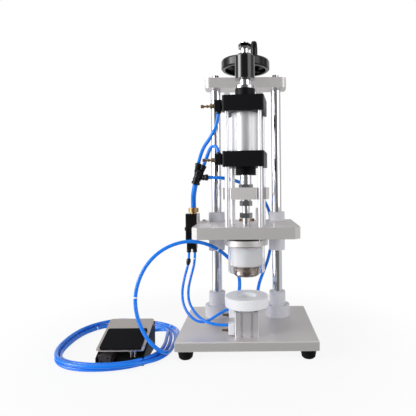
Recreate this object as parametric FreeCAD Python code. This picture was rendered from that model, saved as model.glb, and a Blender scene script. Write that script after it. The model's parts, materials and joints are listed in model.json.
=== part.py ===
"""Bench-top pneumatic capping machine with its foot pedal.

A base plate on four rubber feet carries two chromed columns and a top plate. A handwheel turns a lead
screw that raises and lowers the carriage plate for the bottle height. The carriage carries an air
cylinder on four posts, whose rod pushes the closing collet down inside a clear guard. A compact lift
cylinder on the base raises the white bottle nest, and a foot pedal beside the machine starts the stroke.

All pieces are drawn about the middle of the base plate, X to the right, Y away from the operator, Z up,
and moved together at the end so that the origin is under the middle of the machine and its pedal.
"""
import FreeCAD, Part
import math
import os

V = FreeCAD.Vector

# Driving dimensions of the stand, in millimetres
FOOT_HEIGHT = 22.0
FOOT_TOP_D = 36.0
FOOT_BOTTOM_D = 29.0
FOOT_INSET_X = 20.0
FOOT_INSET_Y = 25.0
FOOT_SCREW_D = 6.0
BASE_WIDTH = 300.0
BASE_DEPTH = 250.0
BASE_THICK = 20.0
BASE_CHAMFER = 1.5
COLUMN_D = 25.0
COLUMN_SPACING = 150.0
COLUMN_Y = 53.0
COLUMN_LENGTH = 577.0
SEAT_FLANGE_D = 60.0
SEAT_FLANGE_H = 28.0
SEAT_COLLAR_D = 40.0
SEAT_HEIGHT = 60.0
TOP_PLATE_WIDTH = 200.0
TOP_PLATE_DEPTH = 50.0
TOP_PLATE_THICK = 25.0
TOP_PLATE_CORNER = 12.0
TOP_PLATE_WEB = 10.0

# Lead screw and handwheel
SCREW_D = 16.0
SCREW_BELOW_TOP_PLATE = 444.0
RUNNING_GAP = 0.05
BUSH_D = 24.0
BUSH_FLANGE_D = 34.0
BUSH_FLANGE_H = 3.0
THRUST_COLLAR_D = 28.0
THRUST_COLLAR_H = 10.0
WHEEL_D = 120.0
WHEEL_RIM_H = 24.0
WHEEL_RIM_ABOVE_PLATE = 23.0
WHEEL_RIM_W = 9.0
WHEEL_WEB = 5.0
HUB_D = 32.0
GRIP_D = 18.0
GRIP_LENGTH = 61.0
GRIP_RADIUS = 45.0
GRIP_ANGLE = 60.0
GRIP_AXLE_D = 8.0

# Carriage plate and its guides
CARRIAGE_WIDTH = 228.0
CARRIAGE_FRONT = 120.0
CARRIAGE_BACK = 90.0
CARRIAGE_THICK = 25.0
CARRIAGE_HEIGHT = 252.0
CARRIAGE_CHAMFER = 12.0
BUSHING_D = 40.0
BUSHING_BELOW = 47.0
BUSHING_ABOVE = 22.0
NUT_D = 24.0
NUT_FLANGE_D = 38.0
NUT_FLANGE_H = 6.0
NUT_BELOW = 5.0

# Press cylinder on its posts, all turned a little about the press axis
PRESS_Y = -73.0
CYL_TURN = -7.0
POST_D = 10.0
POST_LENGTH = 127.0
CAP_SIZE = 88.0
CAP_HEIGHT = 33.0
CAP_CORNER = 5.0
CORNER_PITCH = 70.0
BARREL_D = 60.0
BARREL_BORE = 50.0
BARREL_LENGTH = 84.0
TIE_ROD_D = 8.0
ROD_D = 25.0
GLAND_D = 46.0
GLAND_H = 17.0
TOP_BOSS_D = 44.0
TOP_BOSS_H = 20.0
STOP_WASHER_D = 45.0
STOP_WASHER_H = 6.0
STROKE = 15.7
STOP_GAP = 0.3
ADJUSTER_D = 43.0
ADJUSTER_H = 54.0
STEM_D = 18.0
STEM_H = 26.0
STEM_NUT_AF = 24.0
STEM_NUT_H = 10.0
STEM_NECK = 13.0

# Crosshead, push shaft and closing head
PUSH_D = 16.0
ROD_NUT_AF = 27.0
ROD_NUT_H = 7.0
CROSSHEAD_H = 25.0
CROSSHEAD_WIDTH = 58.0
CROSSHEAD_LONG = 86.0
CROSSHEAD_WING = 98.0
CROSSHEAD_WING_DEPTH = 56.0
ROD_BELOW_GLAND = 20.0
WASHER_D = 22.0
WASHER_H = 4.0
LOCK_NUT_AF = 24.0
LOCK_NUT_H = 11.0
JAM_NUT_ABOVE_PLATE = 17.0
SPACER_D = 62.0
SPACER_H = 4.0
HEAD_FLANGE_D = 94.0
HEAD_FLANGE_H = 12.0
HEAD_NECK_D = 60.0
HEAD_NECK_H = 3.0
HEAD_BODY_D = 70.0
HEAD_BODY_H = 41.0
GUARD_D = 80.0
GUARD_WALL = 3.0
GUARD_H = 58.0
COLLET_D = 58.0
COLLET_H = 22.7
COLLET_BORE = 34.0
COLLET_WEB = 7.0
COLLET_CHAMFER = 4.0
COLLET_SLOTS = 12
COLLET_SLOT_W = 1.6

# Lift cylinder and bottle nest on the base
LIFT_SIZE = 52.0
LIFT_HEIGHT = 53.0
LIFT_BORE = 40.0
LIFT_FLOOR = 10.0
LIFT_ROD_D = 20.0
LIFT_ROD_OUT = 8.0
LIFT_STROKE = 8.0
LIFT_PISTON_H = 12.0
LIFT_END_GAP = 0.5
LIFT_SCREW_D = 5.0
GROOVE_W = 6.0
GROOVE_DEPTH = 4.0
GROOVE_PITCH = 22.0
NEST_D = 95.0
NEST_H = 22.0
NEST_RECESS_D = 42.0
NEST_RECESS_DEPTH = 8.0
NEST_STEP_D = 28.0
NEST_STEP_DEPTH = 4.0

# Foot pedal, standing on the floor left of the machine
PEDAL_X = -259.0
PEDAL_WIDTH = 98.0
PEDAL_FRONT = -136.0
PEDAL_BACK = -36.0
PEDAL_WALL = 3.0
PEDAL_FRONT_H = 16.0
PIVOT_HEIGHT = 54.0
PIVOT_INSET = 12.0
PIVOT_D = 6.0
TREADLE_SLOPE = 20.0
TREADLE_LENGTH = 90.0
TREADLE_THICK = 2.5
TREADLE_ABOVE_PIVOT = 6.0
PAD_LENGTH = 61.0
PAD_THICK = 3.0
PAD_INSET = 6.5
PEDAL_VALVE_W = 27.0
PEDAL_VALVE_H = 17.0
PEDAL_VALVE_DEPTH = 40.0
PLUNGER_D = 7.0

# Air fittings, valve and hoses
CONTROL_W = 18.0
CONTROL_H = 25.0
CONTROL_NEEDLE_D = 10.0
ELBOW_SIZE = 14.0
LIFT_NEEDLE_D = 6.0
VALVE_W = 27.0
VALVE_DEPTH = 30.0
VALVE_H = 84.0
VALVE_OFF_PLATE = 3.5
VALVE_Y = 13.0
VALVE_BOTTOM = 215.0
VALVE_PORT_PITCH = 14.0
VALVE_PORT_FORWARD = 5.0
VALVE_PORT_DROP = 8.0
INLET_RIGHT = 4.0
INLET_HEIGHT = 14.0
BUTTON_D = 9.0
BUTTON_UP = 47.0
BRACKET_FOOT = 18.0
BRACKET_THICK = 3.0
BRACKET_SCREW_D = 4.0
BRACKET_SCREW_PITCH = 16.0
BRACKET_SCREW_GRIP = 8.0
REAR_BLOCK_W = 25.0
REAR_BLOCK_H = 32.0
REAR_BLOCK_X = 34.5
UPPER_NEEDLE_UP = 19.0
UPPER_NEEDLE_LENGTH = 30.0
LOWER_NEEDLE_UP = 17.0
LOWER_NEEDLE_LENGTH = 27.0
PRESS_HOSE_D = 8.0
SUPPLY_HOSE_D = 12.0
LIFT_HOSE_D = 6.0

# Heights and places worked out from the sizes above
BASE_TOP = FOOT_HEIGHT + BASE_THICK
TOP_PLATE_BOTTOM = BASE_TOP + COLUMN_LENGTH - (TOP_PLATE_THICK - TOP_PLATE_WEB)
TOP_PLATE_TOP = TOP_PLATE_BOTTOM + TOP_PLATE_THICK
COLUMN_XS = (-COLUMN_SPACING / 2, COLUMN_SPACING / 2)
CARRIAGE_TOP = CARRIAGE_HEIGHT + CARRIAGE_THICK
LOWER_CAP_Z = CARRIAGE_TOP + POST_LENGTH
BARREL_Z = LOWER_CAP_Z + CAP_HEIGHT
UPPER_CAP_Z = BARREL_Z + BARREL_LENGTH
UPPER_CAP_TOP = UPPER_CAP_Z + CAP_HEIGHT
STOP_TOP = UPPER_CAP_TOP + TOP_BOSS_H + STOP_WASHER_H
ADJUSTER_Z = STOP_TOP + STROKE + STOP_GAP
GLAND_Z = LOWER_CAP_Z - GLAND_H
ROD_BOTTOM = GLAND_Z - ROD_BELOW_GLAND
CROSSHEAD_TOP = ROD_BOTTOM - ROD_NUT_H
CROSSHEAD_Z = CROSSHEAD_TOP - CROSSHEAD_H
HEAD_FLANGE_Z = CARRIAGE_HEIGHT - SPACER_H - HEAD_FLANGE_H
HEAD_BODY_Z = HEAD_FLANGE_Z - HEAD_NECK_H - HEAD_BODY_H
VALVE_X = -CARRIAGE_WIDTH / 2 - VALVE_OFF_PLATE - VALVE_W / 2
PORT_Y = VALVE_Y - VALVE_PORT_FORWARD
PORT_Z = VALVE_BOTTOM - VALVE_PORT_DROP
UP_PORT_X = VALVE_X - VALVE_PORT_PITCH / 2
DOWN_PORT_X = VALVE_X + VALVE_PORT_PITCH / 2
INLET_Z = VALVE_BOTTOM + VALVE_H + INLET_HEIGHT
ELBOW_LEFT = -LIFT_SIZE / 2 - ELBOW_SIZE
COLLET_TOP = HEAD_BODY_Z - STOP_GAP
COLLET_Z = COLLET_TOP - COLLET_H
LIFT_TOP = BASE_TOP + LIFT_HEIGHT
NEST_Z = LIFT_TOP + LIFT_ROD_OUT
PEDAL_LEFT = PEDAL_X - PEDAL_WIDTH / 2
PEDAL_RIGHT = PEDAL_X + PEDAL_WIDTH / 2
PIVOT_Y = PEDAL_BACK - PIVOT_INSET
PIVOT_Z = PIVOT_HEIGHT
STAND_X = -(PEDAL_LEFT + BASE_WIDTH / 2) / 2
STAND_Y = -(PEDAL_FRONT + BASE_DEPTH / 2) / 2


def rod(d, z0, z1, x=0.0, y=0.0):
    """A round upright bar."""
    return Part.makeCylinder(d / 2, z1 - z0, V(x, y, z0))


def pipe(d, bore, z0, z1, x=0.0, y=0.0):
    """A round upright bar with a hole through it."""
    return rod(d, z0, z1, x, y).cut(rod(bore, z0 - 1, z1 + 1, x, y))


def level_rod(d, start, direction, length):
    """A round bar along any direction."""
    return Part.makeCylinder(d / 2, length, start, direction)


def box(x0, x1, y0, y1, z0, z1):
    """A block given by its limits."""
    return Part.makeBox(x1 - x0, y1 - y0, z1 - z0, V(x0, y0, z0))


def upright_edges(shape):
    """The straight edges of a shape that run along Z."""
    return [e for e in shape.Edges if e.BoundBox.XLength < 0.01 and e.BoundBox.YLength < 0.01]


def rounded_box(width, depth, z0, z1, radius, x=0.0, y=0.0):
    """An upright block with round corners in plan, centred on x and y."""
    body = box(x - width / 2, x + width / 2, y - depth / 2, y + depth / 2, z0, z1)
    return body.makeFillet(radius, upright_edges(body))


def hexagon(af, z0, z1, x=0.0, y=0.0, bore=0.0):
    """A hexagon nut or head of the given width across flats."""
    corner = af / 2 / math.cos(math.pi / 6)
    points = [V(x + corner * math.cos(math.radians(60 * i)), y + corner * math.sin(math.radians(60 * i)), z0)
              for i in range(7)]
    body = Part.Face(Part.makePolygon(points)).extrude(V(0, 0, z1 - z0))
    return body.cut(rod(bore, z0 - 1, z1 + 1, x, y)) if bore else body


def turned(profile, x=0.0, y=0.0):
    """A turned piece: closed outline of (radius, height) pairs spun about an upright axis at x, y."""
    points = [V(x + r, y, z) for r, z in profile + profile[:1]]
    return Part.Face(Part.makePolygon(points)).revolve(V(x, y, 0), V(0, 0, 1), 360)


def cap_screw(d, length, x, y, head_z, down=True, head_h=None):
    """A socket-head screw whose head stands on head_z, or hangs under it, with a hexagon socket."""
    way = 1 if down else -1
    tall = head_h or d
    head = rod(1.6 * d, min(head_z, head_z + way * tall), max(head_z, head_z + way * tall), x, y)
    socket_z = sorted((head_z + way * tall * 0.5, head_z + way * (tall + 1)))
    shank_z = sorted((head_z, head_z - way * length))
    screw = head.cut(hexagon(0.8 * d, socket_z[0], socket_z[1], x, y))
    return screw.fuse(rod(d, shank_z[0], shank_z[1], x, y))


def corner_points(pitch, x=0.0, y=0.0):
    """The four corners of a square hole pattern."""
    return [(x + sx * pitch / 2, y + sy * pitch / 2) for sx in (-1, 1) for sy in (-1, 1)]


def about_press(shape):
    """Turn a piece of the cylinder group about the press axis, as the group stands on the carriage."""
    placed = shape.copy()
    placed.rotate(V(0, PRESS_Y, 0), V(0, 0, 1), CYL_TURN)
    return placed


def hose_tube(points, diameter, name):
    """A plain round hose: straight runs joined by tangent arcs, as large as the runs allow."""
    route = [V(*p) for p in points]
    edges = []
    tightest = 1e9
    start = route[0]
    for before, corner, after in zip(route, route[1:], route[2:]):
        back = (before - corner).normalize()
        ahead = (after - corner).normalize()
        half_turn = (math.pi - back.getAngle(ahead)) / 2
        reach = 0.45 * min(before.distanceToPoint(corner), after.distanceToPoint(corner))
        radius = reach / math.tan(half_turn)
        tightest = min(tightest, radius)
        arc_start = corner + back * reach
        arc_end = corner + ahead * reach
        bisector = (back + ahead).normalize()
        middle = corner + bisector * (radius / math.cos(half_turn) - radius)
        edges.append(Part.LineSegment(start, arc_start).toShape())
        edges.append(Part.Arc(arc_start, middle, arc_end).toShape())
        start = arc_end
    edges.append(Part.LineSegment(start, route[-1]).toShape())
    path = Part.Wire(edges)
    ring = Part.Wire(Part.Circle(route[0], (route[1] - route[0]).normalize(), diameter / 2).toShape())
    solid = path.makePipeShell([ring], True, False)
    expected = path.Length * math.pi * diameter ** 2 / 4
    print(f"{name}: length {path.Length:.0f}, tightest radius {tightest:.0f},"
          f" volume/section*length {solid.Volume / expected:.4f}")
    return solid


def stand_pieces():
    """Base, feet, columns with their seats, and the top plate."""
    pieces = {}
    base = box(-BASE_WIDTH / 2, BASE_WIDTH / 2, -BASE_DEPTH / 2, BASE_DEPTH / 2, FOOT_HEIGHT, BASE_TOP)
    base = base.makeChamfer(BASE_CHAMFER, base.Edges)
    foot_x = BASE_WIDTH / 2 - FOOT_INSET_X
    foot_y = BASE_DEPTH / 2 - FOOT_INSET_Y
    feet_at = [(sx * foot_x, sy * foot_y) for sx in (-1, 1) for sy in (-1, 1)]
    foot_screw_up = BASE_THICK * 0.7
    feet = []
    foot_screws = []
    for x, y in feet_at:
        recess = FOOT_HEIGHT * 0.35
        outline = [(0, 0), (FOOT_BOTTOM_D / 2 - 3, 0), (FOOT_BOTTOM_D / 2, 3), (FOOT_TOP_D / 2, FOOT_HEIGHT), (0, FOOT_HEIGHT)]
        foot = turned(outline, x, y)
        foot = foot.cut(rod(1.8 * FOOT_SCREW_D, -1, recess + FOOT_SCREW_D, x, y))
        feet.append(foot.cut(rod(FOOT_SCREW_D, 0, FOOT_HEIGHT + 1, x, y)))
        screw = rod(1.6 * FOOT_SCREW_D, recess, recess + FOOT_SCREW_D, x, y)
        foot_screws.append(screw.fuse(rod(FOOT_SCREW_D, recess, FOOT_HEIGHT + foot_screw_up, x, y)))
        base = base.cut(rod(FOOT_SCREW_D, FOOT_HEIGHT - 1, FOOT_HEIGHT + foot_screw_up, x, y))
    seats = []
    seat_screws = []
    seat_screw_d = 4.0
    seat_screw_circle = (SEAT_FLANGE_D + SEAT_COLLAR_D) / 2 * math.cos(math.pi / 4)
    for x in COLUMN_XS:
        outline = [(COLUMN_D / 2, BASE_TOP), (SEAT_FLANGE_D / 2, BASE_TOP),
                   (SEAT_FLANGE_D / 2, BASE_TOP + SEAT_FLANGE_H - 1), (SEAT_FLANGE_D / 2 - 1, BASE_TOP + SEAT_FLANGE_H),
                   (SEAT_COLLAR_D / 2, BASE_TOP + SEAT_FLANGE_H), (SEAT_COLLAR_D / 2, BASE_TOP + SEAT_HEIGHT - 1),
                   (SEAT_COLLAR_D / 2 - 1, BASE_TOP + SEAT_HEIGHT), (COLUMN_D / 2, BASE_TOP + SEAT_HEIGHT)]
        seat = turned(outline, x, COLUMN_Y)
        head_z = BASE_TOP + SEAT_FLANGE_H - seat_screw_d
        for sx, sy in corner_points(seat_screw_circle, x, COLUMN_Y):
            screw = cap_screw(seat_screw_d, SEAT_FLANGE_H - seat_screw_d + BASE_THICK / 2, sx, sy, head_z)
            seat_screws.append(screw)
            pocket = rod(1.6 * seat_screw_d, head_z, BASE_TOP + SEAT_FLANGE_H + 1, sx, sy)
            shank = rod(seat_screw_d, BASE_TOP - BASE_THICK / 2, head_z + 1, sx, sy)
            seat = seat.cut(pocket).cut(shank)
            base = base.cut(shank)
        seats.append(seat)
    columns = []
    column_screws = []
    column_top = BASE_TOP + COLUMN_LENGTH
    column_screw_d = 10.0
    column_screw_grip = TOP_PLATE_WEB + 20.0
    top = rounded_box(TOP_PLATE_WIDTH, TOP_PLATE_DEPTH, TOP_PLATE_BOTTOM, TOP_PLATE_TOP,
                      min(TOP_PLATE_CORNER, TOP_PLATE_DEPTH / 2 - 1), 0, COLUMN_Y)
    for x in COLUMN_XS:
        shank = rod(column_screw_d, TOP_PLATE_TOP - column_screw_grip, TOP_PLATE_TOP + 1, x, COLUMN_Y)
        columns.append(rod(COLUMN_D, BASE_TOP, column_top, x, COLUMN_Y).cut(shank))
        column_screws.append(cap_screw(column_screw_d, column_screw_grip, x, COLUMN_Y, TOP_PLATE_TOP))
        top = top.cut(rod(COLUMN_D, TOP_PLATE_BOTTOM - 1, column_top, x, COLUMN_Y)).cut(shank)
    top = top.cut(rod(BUSH_D, TOP_PLATE_BOTTOM - 1, TOP_PLATE_TOP + 1, 0, COLUMN_Y))
    bush = turned([(SCREW_D / 2 + RUNNING_GAP, TOP_PLATE_BOTTOM), (BUSH_D / 2, TOP_PLATE_BOTTOM),
                   (BUSH_D / 2, TOP_PLATE_TOP), (BUSH_FLANGE_D / 2, TOP_PLATE_TOP),
                   (BUSH_FLANGE_D / 2, TOP_PLATE_TOP + BUSH_FLANGE_H),
                   (SCREW_D / 2 + RUNNING_GAP, TOP_PLATE_TOP + BUSH_FLANGE_H)], 0, COLUMN_Y)
    for x, y in corner_points(LIFT_SIZE * 0.72, 0, PRESS_Y):
        base = base.cut(rod(LIFT_SCREW_D, BASE_TOP - BASE_THICK / 2, BASE_TOP + 1, x, y))
    pieces["base_plate"] = [base]
    pieces["rubber_feet"] = feet
    pieces["foot_screws"] = foot_screws
    pieces["column_seats"] = seats
    pieces["column_seat_screws"] = seat_screws
    pieces["columns"] = columns
    pieces["top_plate"] = [top]
    pieces["column_top_screws"] = column_screws
    pieces["lead_screw_bush"] = [bush]
    return pieces


def handwheel_pieces():
    """The lead screw, its thrust collar, the dished handwheel and the revolving grip."""
    screw_z = TOP_PLATE_BOTTOM - SCREW_BELOW_TOP_PLATE
    rim_z = TOP_PLATE_TOP + WHEEL_RIM_ABOVE_PLATE
    rim_top = rim_z + WHEEL_RIM_H
    hub_z = TOP_PLATE_TOP + BUSH_FLANGE_H + RUNNING_GAP
    web_top = rim_top - 8.0
    screw_top = web_top + 2.0
    radius = WHEEL_D / 2
    inner = radius - WHEEL_RIM_W
    bore = SCREW_D / 2
    outline = [(bore, hub_z), (HUB_D / 2, hub_z), (HUB_D / 2, web_top - WHEEL_WEB - 6),
               (HUB_D / 2 + 5, web_top - WHEEL_WEB), (inner - 6, rim_top - WHEEL_WEB - 2), (inner, rim_top - 12),
               (inner, rim_z), (radius - 3, rim_z), (radius, rim_z + 3), (radius, rim_top - 5),
               (radius - 1.5, rim_top - 1.5), (radius - 5, rim_top), (inner - 3, rim_top), (inner - 12, rim_top - 3),
               (HUB_D / 2, web_top - 1), (HUB_D / 2 - 1, screw_top - 1), (HUB_D / 2 - 3, screw_top),
               (bore, screw_top)]
    wheel = turned(outline, 0, COLUMN_Y)
    angle = math.radians(GRIP_ANGLE)
    grip_x = GRIP_RADIUS * math.cos(angle)
    grip_y = COLUMN_Y + GRIP_RADIUS * math.sin(angle)
    boss_z = rim_top - 14
    wheel = wheel.fuse(rod(GRIP_D * 0.9, boss_z, rim_top + 1, grip_x, grip_y)).removeSplitter()
    wheel = wheel.cut(rod(GRIP_AXLE_D, boss_z - 1, rim_top + 2, grip_x, grip_y))
    grip_z = rim_top + 1 + STOP_GAP
    grip_top = grip_z + GRIP_LENGTH
    axle_head = GRIP_AXLE_D * 0.6
    axle = rod(GRIP_AXLE_D, boss_z, grip_top - axle_head - STOP_GAP, grip_x, grip_y)
    axle = axle.fuse(rod(GRIP_AXLE_D * 1.4, grip_top - axle_head, grip_top - 1, grip_x, grip_y))
    axle = axle.fuse(rod(GRIP_AXLE_D, grip_top - axle_head - 1, grip_top - axle_head, grip_x, grip_y))
    hole = GRIP_AXLE_D / 2 + RUNNING_GAP
    head_hole = GRIP_AXLE_D * 0.7 + STOP_GAP
    grip = turned([(hole, grip_z), (GRIP_D * 0.4, grip_z), (GRIP_D * 0.45, grip_z + 6),
                   (GRIP_D / 2, grip_z + GRIP_LENGTH * 0.4), (GRIP_D / 2, grip_top - GRIP_LENGTH * 0.3),
                   (GRIP_D * 0.45, grip_top - 6), (GRIP_D * 0.38, grip_top - 1.5),
                   (GRIP_D * 0.34, grip_top), (head_hole, grip_top), (head_hole, grip_top - axle_head - STOP_GAP),
                   (hole, grip_top - axle_head - STOP_GAP)], grip_x, grip_y)
    collar_top = TOP_PLATE_BOTTOM - RUNNING_GAP
    collar = pipe(THRUST_COLLAR_D, SCREW_D, collar_top - THRUST_COLLAR_H, collar_top, 0, COLUMN_Y)
    return {
        "lead_screw": [rod(SCREW_D, screw_z, screw_top, 0, COLUMN_Y)],
        "thrust_collar": [collar],
        "handwheel": [wheel],
        "grip_axle": [axle.removeSplitter()],
        "handwheel_grip": [grip],
    }


def bracket_screw_places():
    """Where the two screws of the valve's bracket stand on the carriage plate."""
    x = -CARRIAGE_WIDTH / 2 + BRACKET_FOOT - 1.5 * BRACKET_SCREW_D
    return [(x, VALVE_Y + way * BRACKET_SCREW_PITCH / 2) for way in (-1, 1)]


def carriage_pieces():
    """The carriage plate with its column bushings, lead nut and small blocks."""
    half = CARRIAGE_WIDTH / 2
    corner = CARRIAGE_CHAMFER
    outline = [(-half, CARRIAGE_BACK), (-half, corner - CARRIAGE_FRONT), (corner - half, -CARRIAGE_FRONT),
               (half - corner, -CARRIAGE_FRONT), (half, corner - CARRIAGE_FRONT), (half, CARRIAGE_BACK)]
    points = [V(x, y, CARRIAGE_HEIGHT) for x, y in outline + outline[:1]]
    plate = Part.Face(Part.makePolygon(points)).extrude(V(0, 0, CARRIAGE_THICK))
    bushings = []
    for x in COLUMN_XS:
        plate = plate.cut(rod(BUSHING_D, CARRIAGE_HEIGHT - 1, CARRIAGE_TOP + 1, x, COLUMN_Y))
        bushings.append(pipe(BUSHING_D, COLUMN_D + 2 * RUNNING_GAP, CARRIAGE_HEIGHT - BUSHING_BELOW,
                             CARRIAGE_TOP + BUSHING_ABOVE, x, COLUMN_Y))
    plate = plate.cut(rod(NUT_D, CARRIAGE_HEIGHT - 1, CARRIAGE_TOP + 1, 0, COLUMN_Y))
    hole = SCREW_D / 2 + RUNNING_GAP
    nut = turned([(hole, CARRIAGE_HEIGHT - NUT_BELOW), (NUT_D / 2, CARRIAGE_HEIGHT - NUT_BELOW),
                  (NUT_D / 2, CARRIAGE_TOP), (NUT_FLANGE_D / 2, CARRIAGE_TOP),
                  (NUT_FLANGE_D / 2, CARRIAGE_TOP + NUT_FLANGE_H), (hole, CARRIAGE_TOP + NUT_FLANGE_H)], 0, COLUMN_Y)
    nut_screws = []
    nut_screw_d = 3.0
    for x, y in corner_points((NUT_D + NUT_FLANGE_D) / 2 * math.cos(math.pi / 4), 0, COLUMN_Y):
        shank = rod(nut_screw_d, CARRIAGE_TOP - 8, CARRIAGE_TOP + NUT_FLANGE_H + 1, x, y)
        nut_screws.append(cap_screw(nut_screw_d, NUT_FLANGE_H + 8, x, y, CARRIAGE_TOP + NUT_FLANGE_H))
        nut = nut.cut(shank)
        plate = plate.cut(shank)
    plate = plate.cut(rod(PUSH_D + 2 * RUNNING_GAP, CARRIAGE_HEIGHT - 1, CARRIAGE_TOP + 1, 0, PRESS_Y))
    for x, y in corner_points(CORNER_PITCH, 0, PRESS_Y):
        plate = plate.cut(about_press(rod(POST_D * 0.6, CARRIAGE_HEIGHT - 1, CARRIAGE_TOP + 1, x, y)))
    for x, y in bracket_screw_places():
        plate = plate.cut(rod(BRACKET_SCREW_D, CARRIAGE_TOP - BRACKET_SCREW_GRIP, CARRIAGE_TOP + 1, x, y))
    return {"carriage_plate": [plate], "column_bushings": bushings, "lead_nut": [nut], "lead_nut_screws": nut_screws}


def press_cylinder_pieces():
    """The air cylinder on its four posts."""
    posts = []
    post_screws = []
    tie_rods = []
    lower = rounded_box(CAP_SIZE, CAP_SIZE, LOWER_CAP_Z, BARREL_Z, CAP_CORNER, 0, PRESS_Y)
    upper = rounded_box(CAP_SIZE, CAP_SIZE, UPPER_CAP_Z, UPPER_CAP_TOP, CAP_CORNER, 0, PRESS_Y)
    rod_hole = ROD_D + 2 * RUNNING_GAP
    screw_d = POST_D * 0.6
    nut_af = TIE_ROD_D * 1.6
    nut_h = TIE_ROD_D * 0.75
    tie_in = 12.0
    for x, y in corner_points(CORNER_PITCH, 0, PRESS_Y):
        shank = rod(screw_d, CARRIAGE_HEIGHT - 1, CARRIAGE_TOP + 12, x, y)
        posts.append(about_press(rod(POST_D, CARRIAGE_TOP, LOWER_CAP_Z, x, y).cut(shank)))
        screw = cap_screw(screw_d, CARRIAGE_THICK + 12, x, y, CARRIAGE_HEIGHT, False, SPACER_H - 0.5)
        post_screws.append(about_press(screw))
        stud = rod(TIE_ROD_D, BARREL_Z - tie_in, UPPER_CAP_TOP + nut_h, x, y)
        tie_rods.append(about_press(stud))
        tie_rods.append(about_press(hexagon(nut_af, UPPER_CAP_TOP, UPPER_CAP_TOP + nut_h, x, y, TIE_ROD_D)))
        lower = lower.cut(rod(TIE_ROD_D, BARREL_Z - tie_in, BARREL_Z + 1, x, y))
        upper = upper.cut(rod(TIE_ROD_D, UPPER_CAP_Z - 1, UPPER_CAP_TOP + 1, x, y))
    lower = lower.cut(rod(rod_hole, LOWER_CAP_Z - 1, BARREL_Z + 1, 0, PRESS_Y))
    upper = upper.cut(rod(rod_hole, UPPER_CAP_Z - 1, UPPER_CAP_TOP + 1, 0, PRESS_Y))
    rib_count = 4
    rib = GLAND_H / rib_count
    gland_outline = [(rod_hole / 2, GLAND_Z)]
    for i in range(rib_count):
        z = GLAND_Z + i * rib
        gland_outline += [(GLAND_D / 2, z), (GLAND_D / 2, z + rib * 0.6), (GLAND_D / 2 - 1.5, z + rib * 0.6),
                          (GLAND_D / 2 - 1.5, z + rib)]
    gland_outline.append((rod_hole / 2, LOWER_CAP_Z))
    stop = pipe(STOP_WASHER_D, rod_hole, UPPER_CAP_TOP + TOP_BOSS_H, STOP_TOP, 0, PRESS_Y)
    return {
        "posts": posts,
        "post_screws": post_screws,
        "lower_cap": [about_press(lower)],
        "cylinder_barrel": [pipe(BARREL_D, BARREL_BORE, BARREL_Z, UPPER_CAP_Z, 0, PRESS_Y)],
        "upper_cap": [about_press(upper)],
        "tie_rods": tie_rods,
        "rod_gland": [turned(gland_outline, 0, PRESS_Y)],
        "top_boss": [pipe(TOP_BOSS_D, rod_hole, UPPER_CAP_TOP, UPPER_CAP_TOP + TOP_BOSS_H, 0, PRESS_Y)],
        "stop_washer": [stop],
    }


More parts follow.
